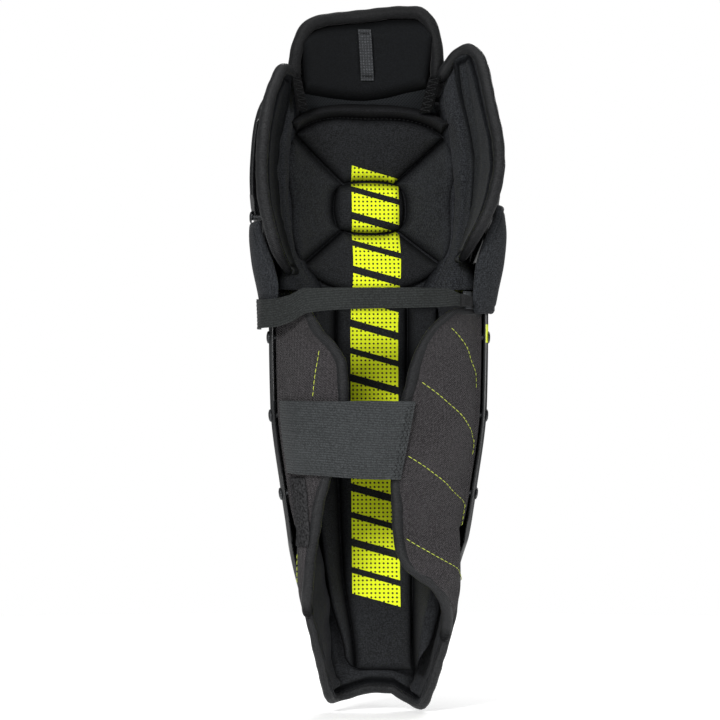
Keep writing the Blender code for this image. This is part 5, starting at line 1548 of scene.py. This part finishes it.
UPPER_STRAP_INSET = ((128, 0.006), (140, 0.0056), (180, 0.005), (220, 0.0026), (245, -0.0034), (260, -0.0088),
                     (275, -0.0094), (290, -0.0096))
UPPER_STRAP_FOOT = ((126, 0.3135), (136, 0.314), (150, 0.3128), (200, 0.3108), (222, 0.3085), (236, 0.301),
                    (250, 0.2975), (290, 0.2962))
UPPER_STRAP_HEIGHT = ((126, 0.0075), (134, 0.009), (146, 0.014), (215, 0.0175), (230, 0.0205), (250, 0.0215),
                      (290, 0.0235))


def build_upper_strap():
    """Narrow ribbed elastic under the knee, with its end folded over and sewn, and its hook patch."""
    def place(angle, v, depth):
        height = smooth(UPPER_STRAP_FOOT, angle) + smooth(UPPER_STRAP_HEIGHT, angle) * v
        return ring(SHIN_FORM, angle, height, smooth(UPPER_STRAP_INSET, angle) + depth)
    u, v = grid(241, 25, 0.0, 0.3)
    angle = mix(126.0, 288.5, u)
    curl = 0.001 * np.sin(v * np.pi) * plateau(angle, 150, 215, 20) + 0.0005 * np.sin(angle * 0.21 + v * 2)
    rib = STRAP_RIB * np.sin(v * 2 * np.pi * 8)
    strap = closed("upper_elastic_strap", place(angle, v, curl - rib), place(angle, v, curl + STRAP_WALL))
    place_piece(strap, "upper_strap", UPPER_STRAP_CLOTH, ("upper_strap",))
    faces = (place(mix(273.0, 285.5, u), mix(0.12, 0.88, v), depth) for depth in (0.0019, 0.0031))
    place_piece(closed("upper_strap_hook_pile", *faces), "upper_strap", HOOK_PILE,
                ("upper_strap_hook",))

    u, v = grid(25, 17, 0.0, 0.3)
    lift = 0.0019 * (1 - smoothstep(0.82, 1.0, u)) + 0.0004
    faces = (place(mix(125.0, 134.0, u), v, depth - lift) for depth in (-0.0014, 0.0006))
    place_piece(closed("upper_strap_fold", *faces), "upper_strap", DARK_BINDING_CLOTH)
    for number, degrees in enumerate((128.5, 131.0), 1):
        row = place(degrees, np.linspace(0.08, 0.92, 20), -0.0037)
        stitches(f"upper_strap_stitches_{number}", "upper_strap", THREAD_DARK,
                 row, outwards_of(row), 0.002, 0.0008, 0.0003)


# ---------------------------------------------------------------- floor, light and camera

SKY_LIGHT = 0.2
FLOOR_RADIUS = 1.2
FLOOR_Z = -0.0006
FLOOR_WHITE = (0.94, 0.94, 0.94)
FLOOR_GLOW = 0.3
LAMPS = (    # name, place, target, size in metres, watts
    ("key", (-1.3, -2.6, 1.6), (0.0, 0.0, 0.3), 0.9, 84.0),
    ("fill", (1.5, -2.6, 0.7), (0.0, 0.0, 0.25), 1.3, 30.0),
    ("top", (0.2, 0.1, 2.6), (0.0, 0.0, 0.3), 1.4, 18.0),
    ("front", (0.9, 2.6, 1.3), (0.0, 0.0, 0.3), 1.4, 46.0),
)


def floor_finish():
    """Matt white paper, lit a little from below like a light table."""
    f = Finish("studio_paper")
    tone = f.blend(f.noise(6.0), scaled(FLOOR_WHITE, 0.995), FLOOR_WHITE)
    return f.shade(Base_Color=tone, Roughness=0.9, Emission_Color=tone, Emission_Strength=FLOOR_GLOW)


def add_to_scene(name, data, place, target):
    """Lamp or camera at a place, looking at a target."""
    thing = bpy.data.objects.new(name, data)
    thing.location = place
    thing.rotation_euler = (Vector(target) - Vector(place)).to_track_quat("-Z", "Y").to_euler()
    bpy.context.scene.collection.objects.link(thing)
    return thing


def build_stage():
    """Pale round floor under a near-white world, and soft area lights."""
    turn = circle(96)
    points = stack(FLOOR_RADIUS * np.cos(turn), FLOOR_RADIUS * np.sin(turn), FLOOR_Z)
    floor = make_object("studio_floor", points, [list(range(len(turn)))])
    floor.data.materials.append(floor_finish())

    world = bpy.context.scene.world or bpy.data.worlds.new("studio")
    bpy.context.scene.world = world
    world.use_nodes = True
    nodes, links = world.node_tree.nodes, world.node_tree.links
    sky = nodes["Background"]
    sky.inputs["Color"].default_value = (1.0, 1.0, 1.0, 1.0)
    level = nodes.new("ShaderNodeMapRange")
    level.inputs["To Min"].default_value = SKY_LIGHT
    level.inputs["To Max"].default_value = 1.0
    links.new(nodes.new("ShaderNodeLightPath").outputs["Is Camera Ray"], level.inputs["Value"])
    links.new(level.outputs[0], sky.inputs["Strength"])

    for name, place, target, size, power in LAMPS:
        lamp = bpy.data.lights.new(name, "AREA")
        lamp.shape = "DISK"
        lamp.size = size
        lamp.energy = power
        add_to_scene(name, lamp, place, target)


CAMERA_TURN = math.radians(-5.0)
CAMERA_DISTANCE = 3.0
CAMERA_AIM = (-0.0139, 0.2726)       # how far to the right of the leg and how high the camera looks
FRAME_HEIGHT = 0.5544
SENSOR = 36.0


def build_camera():
    """Camera level with the object and square on to its open back, turned a little to the left."""
    right = Vector((math.cos(CAMERA_TURN), math.sin(CAMERA_TURN), 0.0))
    back = Vector((math.sin(CAMERA_TURN), -math.cos(CAMERA_TURN), 0.0))
    target = right * CAMERA_AIM[0] + Vector((0.0, 0.0, CAMERA_AIM[1]))
    lens = bpy.data.cameras.new("camera")
    lens.sensor_width = SENSOR
    lens.lens = SENSOR * CAMERA_DISTANCE / FRAME_HEIGHT
    bpy.context.scene.camera = add_to_scene("camera", lens, target + back * CAMERA_DISTANCE, target)
    bpy.context.scene.view_settings.view_transform = "Standard"


for build in (build_camera, build_stage, build_shell, build_foams, build_liner, build_shin_pads,
              build_side_guards, build_strap_anchor, build_knee_cup, build_knee_liner, build_knee_pads,
              build_thigh_guard, build_thigh_joiners, build_wings, build_skirts, build_wraps,
              build_wrap_stitches, build_loop_patch, build_lower_strap, build_upper_strap):
    build()
